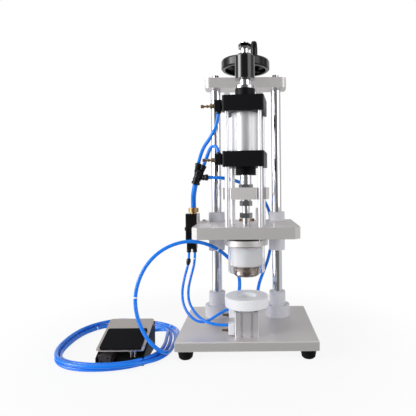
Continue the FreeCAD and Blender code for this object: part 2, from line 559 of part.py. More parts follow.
def piston_pieces():
    """The through rod with its piston, stroke adjuster, crosshead, push shaft and closing collet."""
    adjuster_top = ADJUSTER_Z + ADJUSTER_H
    stem_top = adjuster_top + STEM_H
    push_into_rod = 20.0
    main = rod(ROD_D, ROD_BOTTOM, adjuster_top, 0, PRESS_Y).fuse(rod(STEM_D, adjuster_top, stem_top, 0, PRESS_Y))
    main = main.removeSplitter().cut(rod(PUSH_D, ROD_BOTTOM - 1, ROD_BOTTOM + push_into_rod, 0, PRESS_Y))
    piston_h = 22.0
    piston_top = UPPER_CAP_Z - 2.0
    piston = pipe(BARREL_BORE - 2 * RUNNING_GAP, ROD_D, piston_top - piston_h, piston_top, 0, PRESS_Y)
    edge = 5.0
    adjuster = turned([(ROD_D / 2, ADJUSTER_Z), (ADJUSTER_D / 2, ADJUSTER_Z), (ADJUSTER_D / 2, adjuster_top - edge),
                       (ADJUSTER_D / 2 - edge, adjuster_top), (ROD_D / 2, adjuster_top)], 0, PRESS_Y)
    stem_nut_z = adjuster_top + STEM_NECK
    stem_nut = hexagon(STEM_NUT_AF, stem_nut_z, stem_nut_z + STEM_NUT_H, 0, PRESS_Y, STEM_D)
    cross = box(-CROSSHEAD_WIDTH / 2, CROSSHEAD_WIDTH / 2, PRESS_Y - CROSSHEAD_LONG / 2, PRESS_Y + CROSSHEAD_LONG / 2,
                CROSSHEAD_Z, CROSSHEAD_TOP)
    wings = box(-CROSSHEAD_WING / 2, CROSSHEAD_WING / 2, PRESS_Y - CROSSHEAD_WING_DEPTH / 2,
                PRESS_Y + CROSSHEAD_WING_DEPTH / 2, CROSSHEAD_Z, CROSSHEAD_TOP)
    cross = cross.fuse(wings).removeSplitter()
    cross = cross.makeFillet(3.0, upright_edges(cross))
    cross = cross.cut(rod(PUSH_D, CROSSHEAD_Z - 1, CROSSHEAD_TOP + 1, 0, PRESS_Y))
    washer = pipe(WASHER_D, PUSH_D, CROSSHEAD_Z - WASHER_H, CROSSHEAD_Z, 0, PRESS_Y)
    lock_top = CROSSHEAD_Z - WASHER_H
    lock = hexagon(LOCK_NUT_AF, lock_top - LOCK_NUT_H, lock_top, 0, PRESS_Y, PUSH_D)
    jam_z = CARRIAGE_TOP + JAM_NUT_ABOVE_PLATE
    jam = hexagon(LOCK_NUT_AF, jam_z, jam_z + LOCK_NUT_H, 0, PRESS_Y, PUSH_D)
    shaft_z = COLLET_TOP - COLLET_WEB
    shaft = rod(PUSH_D, shaft_z, ROD_BOTTOM + push_into_rod, 0, PRESS_Y)
    collet = turned([(PUSH_D / 2, COLLET_TOP), (PUSH_D / 2, shaft_z), (COLLET_BORE / 2 - 2, shaft_z),
                     (COLLET_BORE / 2, shaft_z - 2), (COLLET_BORE / 2, COLLET_Z + 2), (COLLET_BORE / 2 + 3, COLLET_Z),
                     (COLLET_D / 2 - COLLET_CHAMFER, COLLET_Z), (COLLET_D / 2, COLLET_Z + COLLET_CHAMFER),
                     (COLLET_D / 2, COLLET_TOP - 5), (COLLET_D / 2 - 2, COLLET_TOP - 4), (COLLET_D / 2 - 2, COLLET_TOP)],
                    0, PRESS_Y)
    for i in range(COLLET_SLOTS):
        slot = box(COLLET_BORE / 2 - 4, COLLET_D, PRESS_Y - COLLET_SLOT_W / 2, PRESS_Y + COLLET_SLOT_W / 2,
                   COLLET_Z - 1, shaft_z - 1.5)
        slot.rotate(V(0, PRESS_Y, 0), V(0, 0, 1), (i + 0.5) * 360 / COLLET_SLOTS)
        collet = collet.cut(slot)
    return {
        "piston_rod": [main],
        "piston": [piston],
        "stroke_adjuster": [adjuster],
        "stem_nut": [about_press(stem_nut)],
        "rod_end_nut": [hexagon(ROD_NUT_AF, CROSSHEAD_TOP, ROD_BOTTOM, 0, PRESS_Y, PUSH_D)],
        "crosshead": [about_press(cross)],
        "crosshead_washer": [washer],
        "shaft_lock_nuts": [lock, jam],
        "push_shaft": [shaft],
        "closing_collet": [collet],
    }


def head_pieces():
    """The closing head under the carriage: spacer, flange, white body and clear guard tube."""
    hole = PUSH_D + 2 * RUNNING_GAP
    spacer_z = CARRIAGE_HEIGHT - SPACER_H
    neck_z = HEAD_BODY_Z + HEAD_BODY_H
    body = turned([(hole / 2, HEAD_BODY_Z), (HEAD_BODY_D / 2 - 2, HEAD_BODY_Z), (HEAD_BODY_D / 2, HEAD_BODY_Z + 2),
                   (HEAD_BODY_D / 2, neck_z), (HEAD_NECK_D / 2, neck_z), (HEAD_NECK_D / 2, HEAD_FLANGE_Z),
                   (hole / 2, HEAD_FLANGE_Z)], 0, PRESS_Y)
    return {
        "head_spacer": [pipe(SPACER_D, hole, spacer_z, CARRIAGE_HEIGHT, 0, PRESS_Y)],
        "head_flange": [pipe(HEAD_FLANGE_D, hole, HEAD_FLANGE_Z, spacer_z, 0, PRESS_Y)],
        "head_body": [body],
        "guard_tube": [pipe(GUARD_D, GUARD_D - 2 * GUARD_WALL, HEAD_FLANGE_Z - GUARD_H, HEAD_FLANGE_Z, 0, PRESS_Y)],
    }


def lift_pieces():
    """The compact lift cylinder on the base, its rod and the white bottle nest."""
    body = rounded_box(LIFT_SIZE, LIFT_SIZE, BASE_TOP, LIFT_TOP, 3.0, 0, PRESS_Y)
    half = LIFT_SIZE / 2
    for side in (-1, 1):
        for shift in (-GROOVE_PITCH / 2, GROOVE_PITCH / 2):
            across = box(shift - GROOVE_W / 2, shift + GROOVE_W / 2, PRESS_Y + side * half - GROOVE_DEPTH,
                         PRESS_Y + side * half + GROOVE_DEPTH, BASE_TOP - 1, LIFT_TOP + 1)
            body = body.cut(across)
    right = box(half - GROOVE_DEPTH, half + 1, PRESS_Y - GROOVE_W / 2, PRESS_Y + GROOVE_W / 2, BASE_TOP - 1, LIFT_TOP + 1)
    body = body.cut(right)
    chamber_z = BASE_TOP + LIFT_FLOOR
    chamber_top = chamber_z + LIFT_PISTON_H + LIFT_STROKE + 2 * LIFT_END_GAP
    body = body.cut(rod(LIFT_BORE, chamber_z, chamber_top, 0, PRESS_Y))
    body = body.cut(rod(LIFT_ROD_D + 2 * RUNNING_GAP, chamber_z, LIFT_TOP + 1, 0, PRESS_Y))
    screws = []
    for x, y in corner_points(LIFT_SIZE * 0.72, 0, PRESS_Y):
        head_z = LIFT_TOP - LIFT_SCREW_D - 1
        screws.append(cap_screw(LIFT_SCREW_D, head_z - BASE_TOP + BASE_THICK / 2, x, y, head_z))
        body = body.cut(rod(1.6 * LIFT_SCREW_D, head_z, LIFT_TOP + 1, x, y))
        body = body.cut(rod(LIFT_SCREW_D, BASE_TOP - 1, head_z + 1, x, y))
    piston_z = chamber_z + LIFT_END_GAP
    piston = rod(LIFT_BORE - 2 * RUNNING_GAP, piston_z, piston_z + LIFT_PISTON_H, 0, PRESS_Y)
    lift_rod = rod(LIFT_ROD_D, piston_z + LIFT_PISTON_H, NEST_Z, 0, PRESS_Y)
    top = NEST_Z + NEST_H
    nest = turned([(0, NEST_Z), (NEST_D / 2 - 1.5, NEST_Z), (NEST_D / 2, NEST_Z + 1.5), (NEST_D / 2, top - 2),
                   (NEST_D / 2 - 2, top), (NEST_RECESS_D / 2 + 1, top), (NEST_RECESS_D / 2, top - 1),
                   (NEST_RECESS_D / 2, top - NEST_RECESS_DEPTH), (NEST_STEP_D / 2, top - NEST_RECESS_DEPTH),
                   (NEST_STEP_D / 2, top - NEST_RECESS_DEPTH - NEST_STEP_DEPTH),
                   (0, top - NEST_RECESS_DEPTH - NEST_STEP_DEPTH)], 0, PRESS_Y)
    return {
        "lift_cylinder": [body],
        "lift_cylinder_screws": screws,
        "lift_piston": [piston],
        "lift_rod": [lift_rod],
        "bottle_nest": [nest],
    }


def pedal_pieces():
    """The foot pedal: channel base, hinged treadle with its rubber pad, valve block and plunger."""
    pieces = {}
    floor = PEDAL_WALL
    wall_top = PIVOT_Z + 4.0
    outline = [(PEDAL_FRONT, 0), (PEDAL_BACK, 0), (PEDAL_BACK, wall_top), (PIVOT_Y - 3, wall_top),
               (PEDAL_FRONT, PEDAL_FRONT_H)]
    points = [V(PEDAL_LEFT, y, z) for y, z in outline + outline[:1]]
    base = Part.Face(Part.makePolygon(points)).extrude(V(PEDAL_WIDTH, 0, 0))
    base = base.cut(box(PEDAL_LEFT + PEDAL_WALL, PEDAL_RIGHT - PEDAL_WALL, PEDAL_FRONT - 1, PEDAL_BACK - PEDAL_WALL,
                        floor, wall_top + 1))
    base = base.cut(box(PEDAL_LEFT + PEDAL_WALL, PEDAL_RIGHT - PEDAL_WALL, PEDAL_BACK - 2 * PEDAL_WALL, PEDAL_BACK + 1,
                        PIVOT_Z - 10, wall_top + 1))
    pin_hole = level_rod(PIVOT_D, V(PEDAL_LEFT - 1, PIVOT_Y, PIVOT_Z), V(1, 0, 0), PEDAL_WIDTH + 2)
    base = base.cut(pin_hole)
    pin = level_rod(PIVOT_D, V(PEDAL_LEFT, PIVOT_Y, PIVOT_Z), V(1, 0, 0), PEDAL_WIDTH)

    plate_z = PIVOT_Z + TREADLE_ABOVE_PIVOT
    treadle = box(PEDAL_LEFT, PEDAL_RIGHT, PIVOT_Y - TREADLE_LENGTH, PIVOT_Y + 10, plate_z, plate_z + TREADLE_THICK)
    treadle = treadle.makeFillet(6.0, upright_edges(treadle))
    ear_clear = 0.6
    ear_depth = PIVOT_D + 4
    for x in (PEDAL_LEFT + PEDAL_WALL + ear_clear, PEDAL_RIGHT - 2 * PEDAL_WALL - ear_clear):
        ear = box(x, x + PEDAL_WALL, PIVOT_Y - ear_depth, PIVOT_Y + ear_depth * 0.6, PIVOT_Z - 6, plate_z)
        treadle = treadle.fuse(ear)
    ear_bore = PIVOT_D + 2 * RUNNING_GAP
    treadle = treadle.removeSplitter()
    treadle = treadle.cut(level_rod(ear_bore, V(PEDAL_LEFT - 1, PIVOT_Y, PIVOT_Z), V(1, 0, 0), PEDAL_WIDTH + 2))
    pad_front = PIVOT_Y - TREADLE_LENGTH + 3
    pad = box(PEDAL_LEFT + PAD_INSET, PEDAL_RIGHT - PAD_INSET, pad_front, pad_front + PAD_LENGTH,
              plate_z + TREADLE_THICK, plate_z + TREADLE_THICK + PAD_THICK)
    pad = pad.makeFillet(4.0, upright_edges(pad))
    for shape in (treadle, pad):
        shape.rotate(V(0, PIVOT_Y, PIVOT_Z), V(1, 0, 0), TREADLE_SLOPE)

    slope = math.radians(TREADLE_SLOPE)

    def treadle_under(y):
        """Height of the treadle's underside above the floor at a depth y."""
        return PIVOT_Z + (y - PIVOT_Y) * math.tan(slope) + TREADLE_ABOVE_PIVOT / math.cos(slope)

    posts = []
    post_d = 5.0
    post_y = PEDAL_FRONT + 13
    post_pitch = 8.0
    post_x = PEDAL_RIGHT - PEDAL_WIDTH / 4
    for x in (post_x - post_pitch / 2, post_x + post_pitch / 2):
        post_top = treadle_under(post_y + post_d / 2) + 3
        post = rod(post_d, 13.0, post_top, x, post_y)
        cutter = box(x - post_pitch, x + post_pitch, PEDAL_FRONT - TREADLE_LENGTH, PIVOT_Y, plate_z,
                     plate_z + PIVOT_HEIGHT)
        cutter.rotate(V(0, PIVOT_Y, PIVOT_Z), V(1, 0, 0), TREADLE_SLOPE)
        posts.append(post.cut(cutter))

    valve_left = PEDAL_LEFT + PEDAL_WALL + 1
    valve_top = floor + PEDAL_VALVE_H
    valve = box(valve_left, valve_left + PEDAL_VALVE_W, PEDAL_FRONT + 2, PEDAL_FRONT + 2 + PEDAL_VALVE_DEPTH,
                floor, valve_top)
    valve = valve.makeFillet(2.0, upright_edges(valve))
    plunger_x = valve_left + PEDAL_VALVE_W / 2
    plunger_y = PEDAL_FRONT + PEDAL_VALVE_DEPTH - 8
    plunger_z = floor + 8.0
    plunger_top = treadle_under(plunger_y - PLUNGER_D / 2) - STOP_GAP
    bore_d = PLUNGER_D + 2 * RUNNING_GAP
    valve = valve.cut(rod(bore_d, floor + 2, valve_top + 1, plunger_x, plunger_y))
    for hole_x, hole_z in ((valve_left + 7, floor + 5), (valve_left + 20, floor + 12)):
        valve = valve.cut(level_rod(3.5, V(hole_x, PEDAL_FRONT + 1, hole_z), V(0, 1, 0), 7))
    plunger = rod(PLUNGER_D, plunger_z, plunger_top - PLUNGER_D / 2, plunger_x, plunger_y)
    dome = Part.makeSphere(PLUNGER_D / 2, V(plunger_x, plunger_y, plunger_top - PLUNGER_D / 2))
    plunger = plunger.fuse(dome).removeSplitter()

    coil_wire = 2.0
    spring_r = PIVOT_D / 2 + RUNNING_GAP
    coils = 9
    spring_x = PEDAL_X - coils * coil_wire / 2
    profile = [V(spring_x, PIVOT_Y, PIVOT_Z + spring_r)]
    for i in range(coils):
        profile.append(V(spring_x + (i + 0.25) * coil_wire, PIVOT_Y, PIVOT_Z + spring_r + coil_wire))
        profile.append(V(spring_x + (i + 0.75) * coil_wire, PIVOT_Y, PIVOT_Z + spring_r + coil_wire))
        profile.append(V(spring_x + (i + 1) * coil_wire, PIVOT_Y, PIVOT_Z + spring_r + coil_wire * 0.6))
    profile.append(V(spring_x + coils * coil_wire, PIVOT_Y, PIVOT_Z + spring_r))
    profile.append(profile[0])
    spring = Part.Face(Part.makePolygon(profile)).revolve(V(0, PIVOT_Y, PIVOT_Z), V(1, 0, 0), 360)

    fitting_x, fitting_y, fitting_z = PEDAL_HOSE_TAIL[-1]
    fitting = level_rod(14.0, V(fitting_x, PEDAL_BACK, fitting_z), V(0, 1, 0), fitting_y - PEDAL_BACK)
    fitting = fitting.fuse(level_rod(9.0, V(fitting_x, PEDAL_BACK - PEDAL_WALL, fitting_z), V(0, 1, 0), PEDAL_WALL + 1))
    base = base.cut(level_rod(9.0, V(fitting_x, PEDAL_BACK - PEDAL_WALL - 1, fitting_z), V(0, 1, 0), PEDAL_WALL + 2))
    pieces["pedal_base"] = [base]
    pieces["pedal_pivot_pin"] = [pin]
    pieces["pedal_return_spring"] = [spring]
    pieces["treadle_plate"] = [treadle]
    pieces["treadle_pad"] = [pad]
    pieces["treadle_posts"] = posts
    pieces["pedal_valve"] = [valve]
    pieces["pedal_plunger"] = [plunger]
    pieces["pedal_fitting"] = [fitting.removeSplitter()]
    return pieces


def needle(start_x, y, z, shank_in, d, length):
    """An adjusting needle along -X: a shank in its block, a hexagon neck and a knurled head."""
    shank_d = d * 0.6
    shank = level_rod(shank_d, V(start_x + shank_in, y, z), V(-1, 0, 0), shank_in + STOP_GAP)
    hex_h = length * 0.28
    flat = Part.Face(Part.makePolygon(
        [V(start_x - STOP_GAP, y + d * 0.62 * math.cos(math.radians(60 * i)), z + d * 0.62 * math.sin(math.radians(60 * i)))
         for i in range(7)]))
    collar = flat.extrude(V(-hex_h, 0, 0))
    head = level_rod(d * 0.8, V(start_x - STOP_GAP - hex_h, y, z), V(-1, 0, 0), length - hex_h - STOP_GAP)
    head = head.makeChamfer(d * 0.12, [head.Edges[0], head.Edges[2]])
    knob = shank.fuse(collar).fuse(head).removeSplitter()
    slot = box(start_x - length - 1, start_x - length + 2, y - d, y + d, z - 0.6, z + 0.6)
    return knob.cut(slot)


def air_pieces():
    """Speed controls, tee union, valve with its bracket and button, and the lift cylinder's elbows."""
    pieces = {}
    face = -CAP_SIZE / 2
    stem = 7.0
    block_x1 = face - stem
    block_x0 = block_x1 - CONTROL_W
    rings = []
    stems = []
    control_up = 6.0
    upper_z = UPPER_CAP_Z + control_up
    lower_z = LOWER_CAP_Z + control_up
    controls = {"upper": (UPPER_CAP_Z + UPPER_NEEDLE_UP, upper_z, upper_z + CONTROL_H, -1, UPPER_NEEDLE_LENGTH),
                "lower": (LOWER_CAP_Z + LOWER_NEEDLE_UP, lower_z, lower_z + CONTROL_H - 1, 1, LOWER_NEEDLE_LENGTH)}
    ring_h = 3.0
    ring_d = PRESS_HOSE_D * 1.6
    shank_in = CONTROL_W * 0.6
    for name, (axis_z, z0, z1, way, reach) in controls.items():
        block = rounded_box(CONTROL_W, CONTROL_W, z0, z1, 3.0, (block_x0 + block_x1) / 2, PRESS_Y)
        bore = level_rod(CONTROL_NEEDLE_D * 0.6 + 2 * RUNNING_GAP, V(block_x0 + shank_in + 1, PRESS_Y, axis_z),
                         V(-1, 0, 0), shank_in + 2)
        pieces[name + "_speed_control"] = [about_press(block.cut(bore))]
        pieces[name + "_needle"] = [about_press(needle(block_x0, PRESS_Y, axis_z, shank_in, CONTROL_NEEDLE_D, reach))]
        stems.append(about_press(level_rod(13.0, V(face, PRESS_Y, axis_z), V(-1, 0, 0), stem)))
        ring_z = z0 - ring_h if way < 0 else z1
        centre = (block_x0 + block_x1) / 2
        rings.append(about_press(pipe(ring_d, PRESS_HOSE_D, ring_z, ring_z + ring_h, centre, PRESS_Y)))
    pieces["control_stems"] = stems
    pieces["control_release_rings"] = rings

    tee_bottom = V(*SUPPLY_HOSE[0])
    top_a = V(*UPPER_HOSE[-1])
    top_b = V(*LOWER_HOSE[-1])
    top = (top_a + top_b) * 0.5
    axis = (top - tee_bottom).normalize()
    length = (top - tee_bottom).Length
    body = level_rod(SUPPLY_HOSE_D * 1.45, tee_bottom, axis, length * 0.72)
    across = (top_b - top_a).normalize()
    fork = tee_bottom + axis * (length * 0.6)
    for end in (top_a, top_b):
        side = 1 if end is top_b else -1
        foot = fork + across * (side * (top_b - top_a).Length / 2)
        body = body.fuse(level_rod(PRESS_HOSE_D * 1.5, foot, (end - foot).normalize(), (end - foot).Length))
    branch_end = V(*PEDAL_HOSE[0])
    branch_from = tee_bottom + axis * ((branch_end.z - tee_bottom.z) / axis.z)
    branch_reach = branch_end.distanceToPoint(branch_from)
    body = body.fuse(level_rod(PRESS_HOSE_D * 1.5, branch_from, branch_end - branch_from, branch_reach))
    pieces["tee_union"] = [body.removeSplitter()]

    valve_top = VALVE_BOTTOM + VALVE_H
    neck_z = VALVE_BOTTOM + VALVE_H * 0.26
    valve = rounded_box(VALVE_W, VALVE_DEPTH, neck_z, valve_top, 2.0, VALVE_X, VALVE_Y)
    valve = valve.fuse(rounded_box(VALVE_W - 4, VALVE_DEPTH - 6, VALVE_BOTTOM, neck_z, 2.0, VALVE_X, VALVE_Y))
    valve = valve.removeSplitter()
    rib = 2.0
    for i in range(4):
        rib_z = neck_z + 8 + i * 2.5 * rib
        valve = valve.cut(box(VALVE_X - VALVE_W / 2 + 4, VALVE_X + VALVE_W / 2 - 4, VALVE_Y - VALVE_DEPTH / 2 - 1,
                              VALVE_Y - VALVE_DEPTH / 2 + 1, rib_z, rib_z + rib))
    button_d = BUTTON_D
    button_z = VALVE_BOTTOM + BUTTON_UP
    left = VALVE_X - VALVE_W / 2
    valve = valve.cut(level_rod(button_d + 2 * RUNNING_GAP, V(left - 1, VALVE_Y, button_z), V(1, 0, 0), 10))
    button = level_rod(button_d, V(left - 4, VALVE_Y, button_z), V(1, 0, 0), 9)
    pieces["air_valve"] = [valve]
    pieces["valve_button"] = [button.makeChamfer(1.0, [button.Edges[0], button.Edges[2]])]
    end_x, end_y, end_z = SUPPLY_HOSE[-1]
    fitting = pipe(24.0, SUPPLY_HOSE_D * 0.6, end_z - 11, end_z - 1, end_x, end_y)
    fitting = fitting.fuse(pipe(15.0, SUPPLY_HOSE_D * 0.6, valve_top, end_z - 10, end_x, end_y))
    fitting = fitting.fuse(pipe(16.0, SUPPLY_HOSE_D * 0.6, end_z - 2, end_z, end_x, end_y))
    pieces["valve_inlet_fitting"] = [fitting.removeSplitter()]
    ports = [pipe(LIFT_HOSE_D * 1.8, LIFT_HOSE_D * 0.6, hose[0][2], VALVE_BOTTOM, hose[0][0], hose[0][1])
             for hose in (LIFT_HOSE_UP, LIFT_HOSE_DOWN)]
    pieces["valve_port_fittings"] = ports
    right = VALVE_X + VALVE_W / 2
    side = -CARRIAGE_WIDTH / 2
    bracket = box(right, side, VALVE_Y - VALVE_DEPTH / 2, VALVE_Y + VALVE_DEPTH / 2, CARRIAGE_HEIGHT + 5, valve_top)
    foot = box(side - 0.01, side + BRACKET_FOOT, VALVE_Y - VALVE_DEPTH / 2, VALVE_Y + VALVE_DEPTH / 2,
               CARRIAGE_TOP, CARRIAGE_TOP + BRACKET_THICK)
    bracket = bracket.fuse(foot).removeSplitter()
    bracket_screws = []
    for x, y in bracket_screw_places():
        bracket = bracket.cut(rod(BRACKET_SCREW_D, CARRIAGE_TOP - 1, CARRIAGE_TOP + BRACKET_THICK + 1, x, y))
        bracket_screws.append(cap_screw(BRACKET_SCREW_D, BRACKET_THICK + BRACKET_SCREW_GRIP, x, y,
                                        CARRIAGE_TOP + BRACKET_THICK))
    pieces["valve_bracket"] = [bracket]
    pieces["valve_bracket_screws"] = bracket_screws
    rear_block = rounded_box(REAR_BLOCK_W, REAR_BLOCK_W, CARRIAGE_TOP, CARRIAGE_TOP + REAR_BLOCK_H, 2.0,
                             REAR_BLOCK_X, COLUMN_Y)
    pieces["rear_block"] = [rear_block]

    elbows = []
    lift_left = -LIFT_SIZE / 2
    for name, hose, low, needle_up in (("lift_up", LIFT_HOSE_UP, 17.0, 4.0), ("lift_down", LIFT_HOSE_DOWN, 19.0, 8.0)):
        end = hose[-1]
        z0 = end[2] - low
        z1 = end[2] + LIFT_HOSE_D * 0.7
        elbow = rounded_box(ELBOW_SIZE, ELBOW_SIZE, z0, z1, 3.0, lift_left - ELBOW_SIZE / 2, end[1])
        needle_z = z0 + needle_up
        start_x = lift_left - ELBOW_SIZE
        shank_in = ELBOW_SIZE * 0.6
        elbow = elbow.cut(level_rod(LIFT_NEEDLE_D * 0.6 + 2 * RUNNING_GAP, V(start_x + shank_in + 1, end[1], needle_z),
                                    V(-1, 0, 0), shank_in + 2))
        elbows.append(elbow)
        pieces[name + "_needle"] = [needle(start_x, end[1], needle_z, shank_in, LIFT_NEEDLE_D, 14.0)]
    pieces["lift_elbows"] = elbows
    return pieces


def hose_coil():
    """The outer shape of the hose coil that lies on the floor round the pedal."""
    x0, x1, y0, y1 = COIL_OUTER
    outer = rounded_box(x1 - x0, y1 - y0, 0, 2 * PRESS_HOSE_D, COIL_OUTER_R, (x0 + x1) / 2, (y0 + y1) / 2)
    x0, x1, y0, y1 = COIL_INNER
    inner = rounded_box(x1 - x0, y1 - y0, -1, 2 * PRESS_HOSE_D + 1, COIL_INNER_R, (x0 + x1) / 2, (y0 + y1) / 2)
    return outer.cut(inner)


# Routes of the hoses, in the same coordinates as the pieces, chosen by hand
UPPER_HOSE = [(-59.5, -65.7, 524), (-62, -65, 502), (-76, -57, 474), (-101, -37, 446), (-109, -25, 417)]
LOWER_HOSE = [(-59.5, -65.7, 437), (-62, -63, 448), (-70, -56, 454), (-80, -44, 450), (-88, -32, 434),
              (-97, -25, 412)]
SUPPLY_HOSE = [(-117, -25, 368), (-122, -17, 350), (-126, 4, 333), (VALVE_X + INLET_RIGHT, VALVE_Y, INLET_Z)]
LIFT_HOSE_UP = [(UP_PORT_X, PORT_Y, PORT_Z), (UP_PORT_X, PORT_Y, PORT_Z - 23), (-147, -4, 151), (-151, -22, 118),
                (-144, -39, 91), (-126, -54, 71), (-103, -64, 62), (-81, -67, 69), (-62, -66, 83),
                (ELBOW_LEFT, -63, 92)]
LIFT_HOSE_DOWN = [(DOWN_PORT_X, PORT_Y, PORT_Z), (DOWN_PORT_X, PORT_Y, PORT_Z - 23), (-132, 0, 153),
                  (-138, -12, 123), (-134, -28, 97), (-118, -46, 79), (-99, -72, 72), (-77, -83, 66),
                  (-57, -85, 64), (ELBOW_LEFT, -85, 64)]
PEDAL_HOSE = [(-87, -25, 384), (-62, -25, 384), (-28, -18, 378), (5, 4, 364), (32, 34, 343), (52, 70, 316),
              (63, 106, 281), (66, 116, 243), (63, 109, 206), (54, 84, 174), (40, 56, 147), (28, 27, 124),
              (24, 6, 101), (22, -3, 80), (9, -8, 66), (-10, -11, 66), (-23, -14, 81), (-21, -17, 102),
              (-17, -19, 127), (-17, -22, 153), (-26, -26, 179), (-45, -32, 204), (-70, -40, 224),
              (-98, -48, 237), (-129, -54, 242), (-161, -60, 236), (-190, -68, 222), (-215, -77, 198),
              (-231, -85, 168), (-239, -91, 134), (-237, -96, 101), (-225, -105, 70), (-206, -119, 47),
              (-187, -127, 32), (-172, -117, 18), (-164, -95, 12)]
PEDAL_HOSE_TAIL = [(-196, 44, 8), (-211, 58, 5), (-232, 58, 4), (-250, 44, 5), (-257, 20, 9), (-258, -3, 13),
                   (-258, -22, 14)]
COIL_OUTER = (-425, -157, -173, 126)
COIL_OUTER_R = 120.0
COIL_INNER = (-395, -193, -151, 92)
COIL_INNER_R = 50.0


def hose_pieces():
    """Every air hose as a plain tube, and the coil on the floor."""
    routes = {
        "upper_hose": (UPPER_HOSE, PRESS_HOSE_D),
        "lower_hose": (LOWER_HOSE, PRESS_HOSE_D),
        "supply_hose": (SUPPLY_HOSE, SUPPLY_HOSE_D),
        "lift_hose_up": (LIFT_HOSE_UP, LIFT_HOSE_D),
        "lift_hose_down": (LIFT_HOSE_DOWN, LIFT_HOSE_D),
        "pedal_hose": (PEDAL_HOSE, PRESS_HOSE_D),
        "pedal_hose_tail": (PEDAL_HOSE_TAIL, PRESS_HOSE_D),
    }
    pieces = {name: [hose_tube(points, d, name)] for name, (points, d) in routes.items()}
    pieces["pedal_hose_coil"] = [hose_coil()]
    return pieces


# Small pieces of one body that share a node, as a group of separate solids
SHARED_NODES = {
    "stand_screws": ("foot_screws", "column_seat_screws", "column_top_screws", "lift_cylinder_screws"),
    "carriage_screws": ("lead_nut_screws", "post_screws", "valve_bracket_screws"),
    "speed_controls": ("upper_speed_control", "lower_speed_control"),
    "brass_fittings": ("control_stems", "control_release_rings", "valve_inlet_fitting", "valve_port_fittings"),
    "rod_nuts": ("stem_nut", "rod_end_nut", "shaft_lock_nuts", "crosshead_washer"),
    "lift_piston_rod": ("lift_piston", "lift_rod"),
    "press_piston_rod": ("piston_rod", "piston"),
    "pedal_hardware": ("pedal_pivot_pin", "pedal_return_spring", "pedal_fitting"),
    "treadle": ("treadle_plate", "treadle_posts"),
    "lead_screw_and_collar": ("lead_screw", "thrust_collar"),
    "rod_glands": ("rod_gland", "top_boss"),
    "carriage_brackets": ("valve_bracket", "rear_block"),
}


def main():
    """Build every piece, move it into place and write one file for each node."""
    os.makedirs("parts", exist_ok=True)
    groups = (stand_pieces, handwheel_pieces, carriage_pieces, press_cylinder_pieces, piston_pieces, head_pieces,
              lift_pieces, pedal_pieces, air_pieces, hose_pieces)
    pieces = {}
    for group in groups:
        pieces.update(group())
    for node, members in SHARED_NODES.items():
        pieces[node] = [solid for member in members for solid in pieces.pop(member)]
    for node, solids in pieces.items():
        shape = solids[0] if len(solids) == 1 else Part.makeCompound(solids)
        shape.translate(V(STAND_X, STAND_Y, 0))
        shape.exportStep("parts/" + node + ".step")
    print(f"{len(pieces)} nodes; stand at {STAND_X}, {STAND_Y}")


main()
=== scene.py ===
# %% [markdown]
# # A bench-top pneumatic capping machine
#
# This lesson dresses a finished CAD model of a small capping press in Blender. A handwheel on top sets the
# height of a carriage, an air cylinder on the carriage pushes a slotted collet over the bottle cap, a white
# nest lifts the bottle, and a foot pedal in a coil of blue hose starts the stroke. The rigid pieces come from
# the CAD model as they are and only get their finishes here. The hoses with their sleeves, the thread of the
# lead screw, the hose union and the needles of the speed controls are made here, because they bend or carry
# detail that a plain solid leaves out.

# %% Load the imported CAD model
import json

import bmesh
import bpy
import numpy as np
from mathutils import Euler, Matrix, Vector


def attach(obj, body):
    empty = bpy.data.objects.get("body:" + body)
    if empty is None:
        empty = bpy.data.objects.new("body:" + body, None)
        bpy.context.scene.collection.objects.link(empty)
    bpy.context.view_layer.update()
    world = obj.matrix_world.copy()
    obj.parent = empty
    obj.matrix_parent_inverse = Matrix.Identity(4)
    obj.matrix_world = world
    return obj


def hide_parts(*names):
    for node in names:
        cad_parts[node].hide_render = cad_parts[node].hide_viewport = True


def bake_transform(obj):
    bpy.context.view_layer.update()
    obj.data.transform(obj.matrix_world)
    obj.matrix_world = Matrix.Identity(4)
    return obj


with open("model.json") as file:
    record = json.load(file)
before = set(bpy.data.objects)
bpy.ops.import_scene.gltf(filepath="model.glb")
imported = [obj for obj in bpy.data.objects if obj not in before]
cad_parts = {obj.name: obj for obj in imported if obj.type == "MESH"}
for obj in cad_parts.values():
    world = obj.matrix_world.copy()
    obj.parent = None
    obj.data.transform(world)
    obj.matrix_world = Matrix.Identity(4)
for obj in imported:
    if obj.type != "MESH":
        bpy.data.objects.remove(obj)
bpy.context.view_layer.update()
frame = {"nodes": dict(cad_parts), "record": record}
nodes = frame["nodes"]

# %% [markdown]
# ## Data and objects
#
# In Blender a mesh, a curve, a lamp or a camera is only data. It shows once an object holds it and that
# object is linked to the scene, which the next helper does for every new piece.

# %% Put a new object in the scene


def add_object(name, data):
    """Make an object of a mesh, curve, lamp or camera and put it in the scene."""
    made = bpy.data.objects.new(name, data)
    bpy.context.scene.collection.objects.link(made)
    return made


# %% [markdown]
# ## Camera
#
# The photograph was taken with a level camera from straight in front, at the height of the carriage, and the
# picture was then cut down to a square with the machine right of its middle. The lens, the place and the
# small lean were worked out from the two columns, the corners of the base plate and the edges of the
# carriage. A level camera keeps the columns parallel, and a lens shift stands for the cut. Setting the camera
# first lets every later piece be judged against the photograph at once.

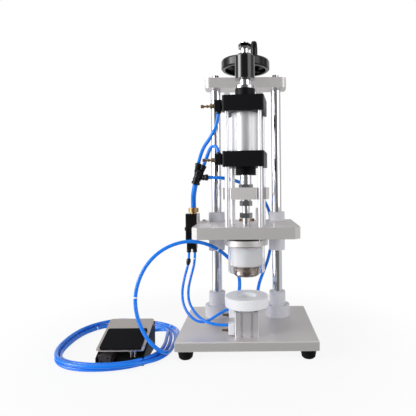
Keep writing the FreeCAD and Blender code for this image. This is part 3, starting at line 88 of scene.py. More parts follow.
# %% Place the camera
PICTURE_SIZE = 416
STRAIGHT_AHEAD = (250.0, 187.5)  # the pixel straight in front of the lens
LEAN = -0.5  # degrees
camera_data = bpy.data.cameras.new("camera")
camera_data.lens = 34.6
camera_data.sensor_width = 36.0
camera_data.clip_start = 0.01
camera_data.clip_end = 50.0
camera_data.shift_x = (PICTURE_SIZE / 2 - STRAIGHT_AHEAD[0]) / PICTURE_SIZE
camera_data.shift_y = (STRAIGHT_AHEAD[1] - PICTURE_SIZE / 2) / PICTURE_SIZE
camera = add_object("camera", camera_data)
camera.location = (0.088, -0.9415, 0.360)
level_view = Euler((np.radians(90), 0, 0)).to_matrix()
lean = Euler((0, 0, np.radians(LEAN))).to_matrix()
camera.rotation_euler = (level_view @ lean).to_euler()
bpy.context.scene.camera = camera
bpy.context.scene.view_settings.view_transform = "Standard"
print("camera at", tuple(round(v, 3) for v in camera.location))

# %% [markdown]
# ## Shader arithmetic
#
# A finish is a small network of nodes. Linking them one by one is long and hard to read, so `Number` wraps
# a socket and overloads the usual operators: `1 - mask * 0.5` adds the Math nodes that say the same.
# `Network` adds any other node from its type, settings and inputs, and `Finish` is the network of a material.

# %% Wrap sockets in a class with operators


class Number:
    """A value that changes over a surface or over the sky. Arithmetic on it adds Math nodes."""

    def __init__(self, network, socket):
        self.network = network
        self.socket = socket

    def math(self, operation, first, second):
        """One Math node on two values, each a socket or a plain number."""
        return self.network.node("ShaderNodeMath", {"operation": operation}, {0: first, 1: second})

    def __add__(self, other):
        return self.math("ADD", self, other)

    def __sub__(self, other):
        return self.math("SUBTRACT", self, other)

    def __rsub__(self, other):
        return self.math("SUBTRACT", other, self)

    def __mul__(self, other):
        return self.math("MULTIPLY", self, other)

    def __gt__(self, other):
        return self.math("GREATER_THAN", self, other)

    __radd__ = __add__
    __rmul__ = __mul__

    def larger(self, other):
        """The larger of two values."""
        return self.math("MAXIMUM", self, other)

    def fade(self, start, end, before, after):
        """A level that goes smoothly from before to after while this value goes from start to end."""
        return self.network.node("ShaderNodeMapRange", {"interpolation_type": "SMOOTHSTEP"},
                                 {0: self, 1: start, 2: end, 3: before, 4: after})


# %% Add any other node


class Network:
    """The nodes of a material or of the world."""

    def __init__(self, owner):
        owner.use_nodes = True
        self.tree = owner.node_tree
        self.tree.nodes.clear()

    def node(self, kind, settings, inputs, output=0):
        """Add a node, its settings first and then the values or links of its sockets, and give an output."""
        made = self.tree.nodes.new(kind)
        for name, value in settings.items():
            setattr(made, name, value)
        for name, value in inputs.items():
            if isinstance(value, Number):
                self.tree.links.new(value.socket, made.inputs[name])
            else:
                made.inputs[name].default_value = value
        return Number(self, made.outputs[output]) if made.outputs else None


# %% Describe a finish


class Finish(Network):
    """One material, made from a Principled shader and whatever is linked to it."""

    def __init__(self, name, **plain):
        self.material = bpy.data.materials.new(name)
        super().__init__(self.material)
        self.shader = self.tree.nodes.new("ShaderNodeBsdfPrincipled")
        self.output = self.tree.nodes.new("ShaderNodeOutputMaterial")
        self.skin = Number(self, self.shader.outputs[0])
        self.show(self.skin)
        for socket, value in plain.items():
            self.feed(socket.replace("_", " "), value)

    def show(self, surface):
        """Link what the material shows."""
        self.tree.links.new(surface.socket, self.output.inputs["Surface"])

    def feed(self, socket, value):
        """Give a shader socket a plain value or a link."""
        if isinstance(value, Number):
            self.tree.links.new(value.socket, self.shader.inputs[socket])
        else:
            self.shader.inputs[socket].default_value = value

    def place(self, stretch=(1, 1, 1)):
        """Object coordinates. A small factor in stretch draws a pattern out along that axis."""
        coordinates = self.node("ShaderNodeTexCoord", {}, {}, "Object")
        return self.node("ShaderNodeVectorMath", {"operation": "MULTIPLY"}, {0: coordinates, 1: stretch})

    def height(self):
        """The height above the floor, in metres."""
        return self.node("ShaderNodeSeparateXYZ", {}, {0: self.place()}, 2)

    def noise(self, scale, detail, stretch=(1, 1, 1)):
        """Soft random variation from 0 to 1, with `scale` blobs to the metre."""
        return self.node("ShaderNodeTexNoise", {},
                         {"Vector": self.place(stretch), "Scale": scale, "Detail": detail})

    def blend(self, mask, first, second):
        """A colour that goes from first to second with the mask."""
        return self.node("ShaderNodeMix", {"data_type": "RGBA"}, {0: mask, 6: first, 7: second}, 2)

    def relief(self, height, depth, strength):
        """Raise the surface by height times depth, in metres."""
        bump = self.node("ShaderNodeBump", {}, {"Height": height, "Distance": depth, "Strength": strength})
        self.feed("Normal", bump)


# %% Write colours as a screen shows them
WHITE = (1.0, 1.0, 1.0, 1.0)


def shade(red, green, blue):
    """A colour read from a screen, 0 to 255, as the linear numbers that shaders use."""
    level = np.array([red, green, blue]) / 255
    linear = np.where(level <= 0.04045, level / 12.92, ((level + 0.055) / 1.055) ** 2.4)
    return (*linear, 1.0)


# %% [markdown]
# ## Room and light
#
# The machine stands on a white sweep in soft light. Chromed rods show nothing of their own, only the room,
# so the room needs something to reflect. The world is white for mirror reflections, with a broad dark
# stretch towards the photographer, where a studio is unlit, a fainter one at the right, thin dark flags
# further round, and a bright upright window at the left. For the light that falls on the object it is a
# plain grey, and the ceiling is darker than the walls. How high a ray looks is its rise, which is 0 at the
# horizon and 1 straight up.

# %% Build the world
world = bpy.data.worlds.new("studio")
bpy.context.scene.world = world
room = Network(world)
direction = room.node("ShaderNodeTexCoord", {}, {}, "Generated")
rise = room.node("ShaderNodeSeparateXYZ", {}, {0: direction}, 2)
level_part = room.node("ShaderNodeVectorMath", {"operation": "MULTIPLY"}, {0: direction, 1: (1, 1, 0)})
flat_way = room.node("ShaderNodeVectorMath", {"operation": "NORMALIZE"}, {0: level_part})


def wall_band(bearing, half_width, soft, depth):
    """A mask for a band of wall round a bearing. Bearings are in degrees from the camera's side, and to the
    right is positive. The mask is depth inside the band, and falls to 0 over `soft` degrees."""
    way = np.radians(bearing)
    wall = (float(np.sin(way)), float(-np.cos(way)), 0.0)
    nearness = room.node("ShaderNodeVectorMath", {"operation": "DOT_PRODUCT"}, {0: flat_way, 1: wall}, 1)
    outer, inner = (float(np.cos(np.radians(half_width + turn))) for turn in (soft, 0.0))
    return nearness.fade(outer, inner, 0.0, depth)


UNLIT_SIDE = (6.0, 30.0, 20.0, 0.83)
DARK_FLAGS = [(62.0, 26.0, 8.0, 0.42), (112.0, 5.0, 8.0, 0.80), (-112.0, 6.0, 8.0, 0.80),
              (165.0, 6.0, 8.0, 0.60)]
WINDOW = (-76.0, 7.0, 5.0, 2.5)
dark = wall_band(*UNLIT_SIDE)
for flag in DARK_FLAGS:
    dark = dark.larger(wall_band(*flag))
dark = dark * rise.fade(0.45, 0.85, 1.0, 0.0)
ceiling = rise.fade(0.25, 0.90, 1.0, 0.62)
mirror_level = (1 - dark) * ceiling + wall_band(*WINDOW)
camera_ray, glossy_ray, clear_ray = (room.node("ShaderNodeLightPath", {}, {}, f"Is {ray} Ray")
                                     for ray in ("Camera", "Glossy", "Transmission"))
plain_level = rise.fade(0.05, 0.80, 0.74, 0.26) * (1 - camera_ray) + camera_ray
mirror = glossy_ray.larger(clear_ray)
level = mirror_level * mirror + plain_level * (1 - mirror)
sky = room.node("ShaderNodeBackground", {}, {"Color": WHITE, "Strength": level})
room.node("ShaderNodeOutputWorld", {}, {"Surface": sky})
print("world nodes:", len(room.tree.nodes))

# %% Hang the lamps
MIDDLE_OF_MACHINE = Vector((0.08, 0.0, 0.35))


def lamp(name, spot, size, power):
    """A square soft box at a spot, turned to face the middle of the machine."""
    data = bpy.data.lights.new(name, "AREA")
    data.size = size
    data.energy = power
    box = add_object(name, data)
    box.location = spot
    box.rotation_euler = (MIDDLE_OF_MACHINE - Vector(spot)).to_track_quat("-Z", "Y").to_euler()


lamp("key_light", (-1.7, -0.9, 0.9), 1.0, 28.0)
lamp("fill_light", (1.5, -1.1, 0.8), 1.2, 10.0)
lamp("top_light", (0.1, 0.2, 2.0), 1.2, 2.0)

# %% [markdown]
# ## Floor
#
# The floor is a white sheet. For the camera most of it is plain white, as the photograph's background is,
# and the rest is a matt white that catches the soft shadow under the machine. The matt share fades away from
# the machine, so the sheet's edge melts into the white world. Mirrors don't see the sheet, so the dark band
# in the columns runs down their whole length, as it does in the photograph.

# %% Lay the floor
REACH = 0.9
JUST_BELOW = 0.0005  # how far the sheet lies under the feet
floor_mesh = bpy.data.meshes.new("floor")
corners = [(-REACH, -REACH, 0), (REACH, -REACH, 0), (REACH, REACH, 0), (-REACH, REACH, 0)]
floor_mesh.from_pydata(corners, [], [(0, 1, 2, 3)])
floor = add_object("floor", floor_mesh)
floor.location.z = -JUST_BELOW
floor.visible_glossy = False
paper = Finish("white_paper", Base_Color=shade(238, 238, 238), Roughness=0.9)
seen = paper.node("ShaderNodeLightPath", {}, {}, "Is Camera Ray")
glow = paper.node("ShaderNodeEmission", {}, {"Color": WHITE, "Strength": 1.0})
distance = paper.node("ShaderNodeVectorMath", {"operation": "LENGTH"}, {0: paper.place()}, 1)
plain_share = seen * distance.fade(0.28, 0.60, 0.88, 1.0)
paper.show(paper.node("ShaderNodeMixShader", {}, {0: plain_share, 1: paper.skin, 2: glow}))
floor_mesh.materials.append(paper.material)
print("floor reaches", REACH, "m each way")

# %% [markdown]
# ## Hoses: the routes
#
# Every hose is polyurethane tube with both ends pushed into fittings, so its length is fixed. Each route is
# a short list of points, from the fitting it leaves, which a smooth curve then rounds off. The points are the
# ones of the CAD model, in its own millimetres, so that hose and solid lie in the same place.

# %% Routes of the hoses
CAD_ORIGIN = np.array([79.0, 5.5, 0.0])


def in_frame(points):
    """Points in millimetres from the CAD model's own origin, as metres in the frame."""
    return (np.array(points) + CAD_ORIGIN) / 1000


UPPER_HOSE = [(-59.5, -65.7, 524), (-62, -65, 502), (-76, -57, 474), (-101, -37, 446), (-109, -25, 417)]
LOWER_HOSE = [(-59.5, -65.7, 437), (-62, -63, 448), (-70, -56, 454), (-80, -44, 450), (-88, -32, 434),
              (-97, -25, 412)]
SUPPLY_HOSE = [(-117, -25, 368), (-122, -17, 350), (-126, 4, 333), (-127, 13, 313)]
LIFT_HOSE_UP = [(-138, 8, 207), (-138, 8, 184), (-147, -4, 151), (-151, -22, 118), (-144, -39, 91),
                (-126, -54, 71), (-103, -64, 62), (-81, -67, 69), (-62, -66, 83), (-40, -63, 92)]
LIFT_HOSE_DOWN = [(-124, 8, 207), (-124, 8, 184), (-132, 0, 153), (-138, -12, 123), (-134, -28, 97),
                  (-118, -46, 79), (-99, -72, 72), (-77, -83, 66), (-57, -85, 64), (-40, -85, 64)]
PEDAL_HOSE = [(-87, -25, 384), (-62, -25, 384), (-28, -18, 378), (5, 4, 364), (32, 34, 343), (52, 70, 316),
              (63, 106, 281), (66, 116, 243), (63, 109, 206), (54, 84, 174), (40, 56, 147), (28, 27, 124),
              (24, 6, 101), (22, -3, 80), (9, -8, 66), (-10, -11, 66), (-23, -14, 81), (-21, -17, 102),
              (-17, -19, 127), (-17, -22, 153), (-26, -26, 179), (-45, -32, 204), (-70, -40, 224),
              (-98, -48, 237), (-129, -54, 242), (-161, -60, 236), (-190, -68, 222), (-215, -77, 198),
              (-231, -85, 168), (-239, -91, 134), (-237, -96, 101), (-225, -105, 70), (-206, -119, 47),
              (-187, -127, 32), (-172, -117, 18), (-164, -95, 12)]
PEDAL_HOSE_TAIL = [(-196, 44, 8), (-211, 58, 5), (-232, 58, 4), (-250, 44, 5), (-257, 20, 9), (-258, -3, 13),
                   (-258, -22, 14)]

# %% [markdown]
# ## Hoses: the coil on the floor
#
# The spare length of the pedal's hose lies in loose turns round the pedal. At the front and the left the
# turns ride on one another, and at the back right they fan out on the floor. A turn is worked out from an
# angle: a rounded rectangle gives its place, and a table gives how far inside the coil's edge the hose lies
# there and how high, both straight in between its rows. Lengths are in millimetres, as in the routes.

# %% Work out the coil's turns
COIL_CENTRE = np.array([-291.0, -23.5])
COIL_FLAT = np.array([14.0, 29.5])
COIL_ROUND = 120.0
CORNER_SOFTNESS = 0.08
POINTS_PER_TURN = 18
INSET_AND_HEIGHT = np.array([
    (-12, 5.0, 12.0), (8, 5.0, 12.0), (30, 5.0, 5.0), (45, 5.0, 4.0), (80, 5.0, 4.0), (95, 5.0, 9.0),
    (108, 5.0, 12.5), (270, 5.0, 12.0), (295, 5.0, 12.0), (330, 5.0, 4.0), (350, 5.5, 4.0),
    (375, 13.5, 4.0), (395, 15.0, 4.0), (425, 18.5, 4.0), (445, 17.0, 4.0), (478, 5.5, 4.0),
    (490, 5.0, 4.0), (595, 5.0, 4.0), (650, 13.5, 4.0), (700, 13.5, 4.0), (722, 22.0, 4.0),
    (750, 23.5, 4.0), (768, 28.0, 4.0), (785, 32.0, 4.0), (810, 30.0, 4.0), (845, 14.0, 4.0),
    (900, 13.5, 4.0), (925, 13.5, 4.5), (960, 13.5, 12.0), (1045, 13.5, 12.0), (1062, 20.0, 12.0),
    (1085, 31.0, 11.0), (1103, 37.0, 9.0),
])


def coil_turns():
    """Points of the coil in the CAD model's millimetres, counter-clockwise seen from above, for an angle a.
    Place: centre + flat half * r / sqrt(r^2 + softness) + (round - inset) * r, with r = (cos a, sin a).
    Inset and height are read from the table of (angle in degrees, inset, height)."""
    angle, inset, height = INSET_AND_HEIGHT.T
    a = np.arange(angle[0], angle[-1], 360 / POINTS_PER_TURN)
    ray = np.stack([np.cos(np.radians(a)), np.sin(np.radians(a))], 1)
    flat = COIL_FLAT * ray / np.sqrt(ray ** 2 + CORNER_SOFTNESS)
    plan = COIL_CENTRE + flat + (COIL_ROUND - np.interp(a, angle, inset))[:, None] * ray
    return np.column_stack([plan, np.interp(a, angle, height)])


pedal_route = np.vstack([PEDAL_HOSE, coil_turns(), PEDAL_HOSE_TAIL])
print("points of the pedal hose:", len(pedal_route))

# %% [markdown]
# ## Hoses: the tube
#
# A quadratic NURBS spline rounds the route, and Blender turns it into a fine line of points. A round tube is
# then carried along that line: at each point a ring stands square to the line. To keep the ring from
# twisting, each ring's side direction is the previous one with the part along the line taken out.

# %% Read a smooth line from a route
SAME_POINT = 1e-5  # points nearer than this, in metres, count as one


def smooth_line(points, name):
    """The line of a NURBS spline of order 3 through its end points, as an array of points."""
    curve = bpy.data.curves.new(name + "_line", "CURVE")
    curve.dimensions = "3D"
    curve.resolution_u = 10
    spline = curve.splines.new("NURBS")
    spline.points.add(len(points) - 1)
    spline.points.foreach_set("co", np.column_stack([points, np.ones(len(points))]).ravel())
    spline.order_u = 3
    spline.use_endpoint_u = True
    holder = add_object(name + "_line", curve)
    bpy.context.view_layer.update()
    mesh = bpy.data.meshes.new_from_object(holder.evaluated_get(bpy.context.evaluated_depsgraph_get()))
    line = np.array([v.co for v in mesh.vertices])
    bpy.data.objects.remove(holder)
    keep = np.r_[True, np.linalg.norm(np.diff(line, axis=0), axis=1) > SAME_POINT]
    return line[keep]


def run_of(line):
    """How far along a line of points each point lies."""
    return np.r_[0, np.cumsum(np.linalg.norm(np.diff(line, axis=0), axis=1))]


# %% Turn grids and lines into meshes


def mesh_from_grid(name, grid, smooth=True):
    """A closed mesh from a grid of points, rows by columns. Each face joins four neighbours, the columns
    close on themselves, and a fan from its middle closes the first row and the last."""
    rows, columns = grid.shape[:2]
    index = np.arange(rows * columns).reshape(rows, columns)
    ahead = np.roll(index, -1, 1)
    sides = np.stack([index[:-1], ahead[:-1], ahead[1:], index[1:]], -1).reshape(-1, 4)
    points = np.vstack([grid.reshape(-1, 3), grid[0].mean(0), grid[-1].mean(0)])
    first = np.full(columns, len(points) - 2)
    last = np.full(columns, len(points) - 1)
    start = np.stack([first, ahead[0], index[0]], 1)
    end = np.stack([last, index[-1], ahead[-1]], 1)
    mesh = bpy.data.meshes.new(name)
    mesh.from_pydata(points.tolist(), [], sides.tolist() + start.tolist() + end.tolist())
    mesh.polygons.foreach_set("use_smooth", np.full(len(mesh.polygons), smooth))
    mesh.update()
    return add_object(name, mesh)


ANY_WAY = (0.3, 0.5, 0.8)


def along(line):
    """For every point of a line: a side square to the line that doesn't twist, and the third way."""
    ahead = np.gradient(line, axis=0)
    ahead /= np.linalg.norm(ahead, axis=1)[:, None]
    side = np.zeros_like(ahead)
    last = np.cross(ahead[0], ANY_WAY)
    for i, way in enumerate(ahead):
        last = last - way * (last @ way)
        last = last / np.linalg.norm(last)
        side[i] = last
    return side, np.cross(ahead, side)


def sweep(name, line, radii, segments=20):
    """A tube along a line: point + radius * (cos t * side + sin t * third), with t round the ring."""
    side, third = along(line)
    t = np.linspace(0, 2 * np.pi, segments, endpoint=False)
    ring = np.cos(t)[None, :, None] * side[:, None] + np.sin(t)[None, :, None] * third[:, None]
    return mesh_from_grid(name, line[:, None] + np.reshape(radii, (-1, 1, 1)) * ring)


# %% [markdown]
# ## Finish: blue hose
#
# Polyurethane tube is clear blue with a smooth, slightly waxy skin. It looks darker where the wall is seen
# edge on and brighter where light passes through to the far wall. A deep blue with a thin clear coat comes
# near to it, and a slow change of tone along the tube keeps it from looking like paint.

# %% Make the hose finish
hose_blue = Finish("blue_tube", Roughness=0.28, Coat_Weight=0.25, Coat_Roughness=0.12, IOR=1.5,
                   Specular_IOR_Level=0.35)
hose_tone = hose_blue.blend(hose_blue.noise(scale=9.0, detail=2.0), shade(0, 110, 228), shade(0, 140, 255))
hose_blue.feed("Base Color", hose_tone)
hose_blue.relief(hose_blue.noise(scale=160.0, detail=1.0), depth=0.0001, strength=0.05)

# %% [markdown]
# ## Hoses: the pieces
#
# The two cylinder hoses and the supply lie on the carriage and ride with it. The lift hoses and the pedal's
# hose run from the carriage down to things that stand still. Each is given two heights for its ends between
# stand and carriage, and here its place is baked into its mesh. Each hose takes the place of the plain solids
# that stand for it in the CAD model.

# %% Make the hoses
LIFT_ENDS = (0.100, 0.200)
PEDAL_ENDS = (0.100, 0.340)
HOSES = {
    "upper_air_hose": dict(route=UPPER_HOSE, diameter=0.008, ends=None, lay="hanging", solids=["upper_hose"]),
    "lower_air_hose": dict(route=LOWER_HOSE, diameter=0.008, ends=None, lay="hanging", solids=["lower_hose"]),
    "supply_air_hose": dict(route=SUPPLY_HOSE, diameter=0.012, ends=None, lay=None, solids=["supply_hose"]),
    "lift_up_air_hose": dict(route=LIFT_HOSE_UP, diameter=0.006, ends=LIFT_ENDS, lay="hanging",
                             solids=["lift_hose_up"]),
    "lift_down_air_hose": dict(route=LIFT_HOSE_DOWN, diameter=0.006, ends=LIFT_ENDS, lay="hanging",
                               solids=["lift_hose_down"]),
    "pedal_air_hose": dict(route=pedal_route, diameter=0.008, ends=PEDAL_ENDS, lay="coiled",
                           solids=["pedal_hose", "pedal_hose_coil", "pedal_hose_tail"]),
}


def hold(piece, ends):
    """Make a piece ride on the carriage, or where it has ends, bake its place into its mesh."""
    if ends is None:
        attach(piece, "carriage")
    else:
        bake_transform(piece)


tubes = {}
lines = {}
for name, hose in HOSES.items():
    lines[name] = smooth_line(in_frame(hose["route"]), name)
    tubes[name] = sweep(name, lines[name], np.full(len(lines[name]), hose["diameter"] / 2))
    tubes[name].data.materials.append(hose_blue.material)
    hold(tubes[name], hose["ends"])
    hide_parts(*hose["solids"])
    print(name, "length", round(run_of(lines[name])[-1], 3))

# %% [markdown]
# ## Sleeves on the hoses
#
# Short white bands sit on the hoses where they were joined and marked, and the longer lift hose has a black
# reducer under the valve. Each is a tube along a stretch of its hose's own line, a hair wider than the hose,
# so it bends with it. The place is the point of the line nearest to a spot.

# %% Make sleeves and the reducer
sleeve_white = Finish("white_sleeve", Base_Color=shade(236, 240, 246), Roughness=0.42)
sleeve_white.relief(sleeve_white.noise(scale=900.0, detail=2.0), depth=0.0001, strength=0.4)
reducer_black = Finish("reducer_black", Base_Color=shade(20, 20, 22), Roughness=0.35)
reducer_black.relief(reducer_black.noise(scale=1200.0, detail=2.0), depth=0.0001, strength=0.3)
riders = {name: [] for name in HOSES}


def stretch_of(line, spot, length, samples):
    """A piece of a line, of a given length, whose middle is the line's point nearest to a spot."""
    run = run_of(line)
    middle = run[np.argmin(np.linalg.norm(line - np.array(spot), axis=1))]
    at = np.linspace(middle - length / 2, middle + length / 2, samples)
    return np.stack([np.interp(at, run, line[:, i]) for i in range(3)], 1)


def sleeve(name, hose, spot, length, profile, finish):
    """A round sleeve on a hose. The profile lists radii from its start to its end, rings closed at both."""
    piece = sweep(name, stretch_of(lines[hose], spot, length, len(profile)), profile, segments=24)
    piece.data.materials.append(finish.material)
    hold(piece, HOSES[hose]["ends"])
    riders[hose].append(piece)


BAND_WALL = 0.0004
BAND_ROUNDING = 0.0001
BAND_SINK = 0.0005  # how far the bands' closed ends reach into the hose
BANDS = {
    "pedal_band_arch": ("pedal_air_hose", (0.0147, -0.0330, 0.2195), 0.0030),
    "pedal_band_behind": ("pedal_air_hose", (0.1050, 0.0200, 0.1120), 0.0030),
    "pedal_band_left": ("pedal_air_hose", (-0.1600, -0.0860, 0.1250), 0.0035),
    "coil_band_back": ("pedal_air_hose", (-0.2950, 0.0700, 0.0120), 0.0030),
    "coil_band_front": ("pedal_air_hose", (-0.3080, -0.1100, 0.0120), 0.0040),
    "coil_band_right": ("pedal_air_hose", (-0.1180, 0.0880, 0.0040), 0.0030),
    "coil_band_corner": ("pedal_air_hose", (-0.0950, 0.0500, 0.0040), 0.0030),
    "lift_band_low": ("lift_up_air_hose", (-0.0136, -0.0615, 0.0650), 0.0030),
    "lift_band_high": ("lift_down_air_hose", (-0.0450, 0.0135, 0.1900), 0.0030),
}
for name, (hose, spot, length) in BANDS.items():
    hose_radius = HOSES[hose]["diameter"] / 2
    wide = hose_radius + BAND_WALL
    rim = wide - BAND_ROUNDING
    closed = hose_radius - BAND_SINK
    sleeve(name, hose, spot, length, [closed, rim, wide, wide, wide, rim, closed], sleeve_white)

REDUCER_PROFILE = np.array([3.2, 5.0, 5.2, 5.2, 5.4, 5.4, 4.4, 4.4, 3.6, 3.1]) / 1000
REDUCER_SPOT = (-0.0590, 0.0130, 0.1830)
REDUCER_LENGTH = 0.016
sleeve("lift_hose_reducer", "lift_up_air_hose", REDUCER_SPOT, REDUCER_LENGTH, REDUCER_PROFILE, reducer_black)
print("sleeves:", {name: len(pieces) for name, pieces in riders.items()})

# %% [markdown]
# ## The cords
#
# Each hose is a cord of its true length and diameter. The length is measured on its own line and printed
# where the hose is made, and the sleeves that sit on it are gathered in riders. The supply hose is under six
# diameters long, a stub that can't hang or lie, so it rides on the carriage as a rigid piece.

# %% [markdown]
# ## Lead screw
#
# The handwheel turns a screw that lifts the carriage. Its thread is the usual trapezoid of such screws, 16 mm
# across with a pitch of 4 mm. The thread is one strip as wide as the pitch, wound round the axis: its last
# edge is the first edge of the next turn, so the surface is closed all the way. Root, flanks and crest each
# take a share of the strip. A plain journal below, and the shank with its thrust collar above, are turned.

# %% Wind the thread
SCREW_AXIS = (0.0790, 0.0585)
SCREW_BOTTOM = 0.1600
SCREW_TOP = 0.6700
THREAD_LOW = 0.1640
THREAD_HIGH = 0.5920
PITCH = 0.0040
ROOT_RADIUS = 0.00575
CREST_RADIUS = 0.0080
THREAD_SHARES = np.array([0.0, 0.36, 0.50, 0.86])
THREAD_RADII = np.array([ROOT_RADIUS, ROOT_RADIUS, CREST_RADIUS, CREST_RADIUS])
STEPS_PER_TURN = 28


def wound_thread(name):
    """A strip wound up the axis, with a point at each share of the pitch. For step i, angle = 2 pi i / steps
    and height = low + pitch * (i / steps + share), at the share's own radius. Fans close both ends."""
    rows = (round((THREAD_HIGH - THREAD_LOW) / PITCH) - 1) * STEPS_PER_TURN + 1
    i = np.arange(rows + STEPS_PER_TURN)[:, None]
    angle = 2 * np.pi * i / STEPS_PER_TURN
    x = SCREW_AXIS[0] + THREAD_RADII * np.cos(angle)
    y = SCREW_AXIS[1] + THREAD_RADII * np.sin(angle)
    z = THREAD_LOW + PITCH * (i / STEPS_PER_TURN + THREAD_SHARES)
    points = np.stack([x, y, z], -1).reshape(-1, 3)
    index = np.arange(len(points)).reshape(-1, len(THREAD_SHARES))
    strip = np.column_stack([index[:rows], index[STEPS_PER_TURN:, 0]])
    sides = np.stack([strip[:-1, :-1], strip[1:, :-1], strip[1:, 1:], strip[:-1, 1:]], -1)
    faces = sides.reshape(-1, 4).tolist()
    low_rim = np.r_[index[:STEPS_PER_TURN + 1, 0], index[0, :0:-1]]
    high_rim = np.r_[index[rows - 1, 1:], index[rows - 1:, 0][::-1]]
    for hub, rim in ((len(points), low_rim), (len(points) + 1, high_rim)):
        faces += np.stack([np.full(len(rim), hub), np.roll(rim, -1), rim], 1).tolist()
    hubs = [(*SCREW_AXIS, THREAD_LOW), (*SCREW_AXIS, THREAD_HIGH)]
    mesh = bpy.data.meshes.new(name)
    mesh.from_pydata(points.tolist() + hubs, [], faces)
    shape = bmesh.new()
    shape.from_mesh(mesh)
    bmesh.ops.delete(shape, geom=[v for v in shape.verts if not v.link_faces], context="VERTS")
    bmesh.ops.recalc_face_normals(shape, faces=shape.faces)
    shape.to_mesh(mesh)
    shape.free()
    return add_object(name, mesh)


thread = wound_thread("lead_screw_thread")
print("faces of the thread:", len(thread.data.polygons))

# %% Turn the journal and the shank
BOTTOM_RADIUS = ROOT_RADIUS - 0.0002
COLLAR_LOW = 0.5939
COLLAR_HIGH = 0.6040
COLLAR_RADIUS = 0.0140
STEP_LOW = COLLAR_LOW - 0.0030
STEP_HIGH = COLLAR_LOW - 0.0020
BEVEL = 0.0008
SHANK_OUTLINE = np.array([
    (BOTTOM_RADIUS - BEVEL, SCREW_BOTTOM), (BOTTOM_RADIUS, SCREW_BOTTOM + BEVEL), (BOTTOM_RADIUS, STEP_LOW),
    (CREST_RADIUS, STEP_HIGH), (CREST_RADIUS, COLLAR_LOW), (COLLAR_RADIUS - BEVEL, COLLAR_LOW),
    (COLLAR_RADIUS, COLLAR_LOW + BEVEL), (COLLAR_RADIUS, COLLAR_HIGH - BEVEL),
    (COLLAR_RADIUS - BEVEL, COLLAR_HIGH), (CREST_RADIUS, COLLAR_HIGH), (CREST_RADIUS, SCREW_TOP - BEVEL),
    (CREST_RADIUS - BEVEL, SCREW_TOP),
])


def turned(name, axis, outline, segments=40):
    """A turned piece: each (radius, height) of the outline goes round an upright axis as
    (axis x + radius cos t, axis y + radius sin t, height), closed at both ends."""
    t = np.linspace(0, 2 * np.pi, segments, endpoint=False)
    x = axis[0] + outline[:, :1] * np.cos(t)
    y = axis[1] + outline[:, :1] * np.sin(t)
    z = np.repeat(outline[:, 1:], segments, axis=1)
    return mesh_from_grid(name, np.stack([x, y, z], -1), smooth=False)


shank = turned("lead_screw_shank", SCREW_AXIS, SHANK_OUTLINE)
for piece in (thread, shank):
    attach(piece, "wheel")
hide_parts("lead_screw_and_collar")

# %% [markdown]
# ## Tee union
#
# Where the two cylinder hoses, the supply and the pedal's hose meet, the photograph shows a stout black union
# with a collar round each mouth. Each arm is a straight sweep whose radius steps up at the collars.

# %% Build the union
UNION_FOOT = in_frame(SUPPLY_HOSE[0])
UPPER_MOUTH = in_frame(UPPER_HOSE[-1])
LOWER_MOUTH = in_frame(LOWER_HOSE[-1])
PEDAL_MOUTH = in_frame(PEDAL_HOSE[0])
BODY_LENGTH = 0.036
BRANCH_HEIGHT = 0.024  # the point of the body's axis towards which the two upper arms lean
ARM_LENGTH = 0.020
ARM_LEAN = 0.25
BODY_OUTLINE = [
    (0.0, 6.6), (0.01, 9.2), (0.02, 9.8), (0.16, 9.8), (0.17, 9.2), (0.18, 8.4), (0.26, 8.4), (0.27, 9.0),
    (0.28, 9.4), (0.38, 9.4), (0.39, 9.0), (0.40, 8.6), (0.62, 8.6), (0.63, 9.2), (0.64, 9.6), (0.80, 9.6),
    (0.81, 9.2), (0.90, 8.0), (1.0, 5.0)]
ARM_OUTLINE = [
    (0.0, 6.0), (0.50, 6.0), (0.505, 6.6), (0.51, 7.0), (0.62, 7.0), (0.625, 6.6), (0.63, 6.0), (0.70, 6.0),
    (0.705, 6.8), (0.71, 7.3), (0.97, 7.3), (0.985, 6.8), (1.0, 4.4)]
union_axis = (UPPER_MOUTH + LOWER_MOUTH) / 2 - UNION_FOOT
union_axis = union_axis / np.linalg.norm(union_axis)


def union_part(name, start, end, outline):
    """A straight piece with a turned outline: at each (share of the length, radius in mm) a ring stands at
    start + share * (end - start)."""
    share, radius = np.array(outline).T
    piece = sweep(name, start + share[:, None] * (end - start), radius / 1000, segments=28)
    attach(piece, "carriage")
    return piece


def upper_arm(name, mouth):
    """An arm that ends at a mouth and leans towards the branch point of the body."""
    start = mouth - union_axis * ARM_LENGTH
    start = start + (UNION_FOOT + union_axis * BRANCH_HEIGHT - start) * ARM_LEAN
    return union_part(name, start, mouth, ARM_OUTLINE)


side_start = UNION_FOOT + union_axis * (PEDAL_MOUTH[2] - UNION_FOOT[2]) / union_axis[2]
union_body = union_part("union_body", UNION_FOOT, UNION_FOOT + union_axis * BODY_LENGTH, BODY_OUTLINE)
union_pieces = [
    union_body,
    upper_arm("union_arm_upper", UPPER_MOUTH),
    upper_arm("union_arm_lower", LOWER_MOUTH),
    union_part("union_arm_pedal", side_start, PEDAL_MOUTH, ARM_OUTLINE),
]
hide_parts("tee_union")
print("pieces of the union:", len(union_pieces))

# %% [markdown]
# ## Speed control needles
#
# The brass needles of the two speed controls stand out at the left: a knurled knob at the tip, a thin neck,
# a collar and a lock nut at the block. Each is turned round the axis of the solid in the CAD model, which is
# the direction in which that solid's points spread most.

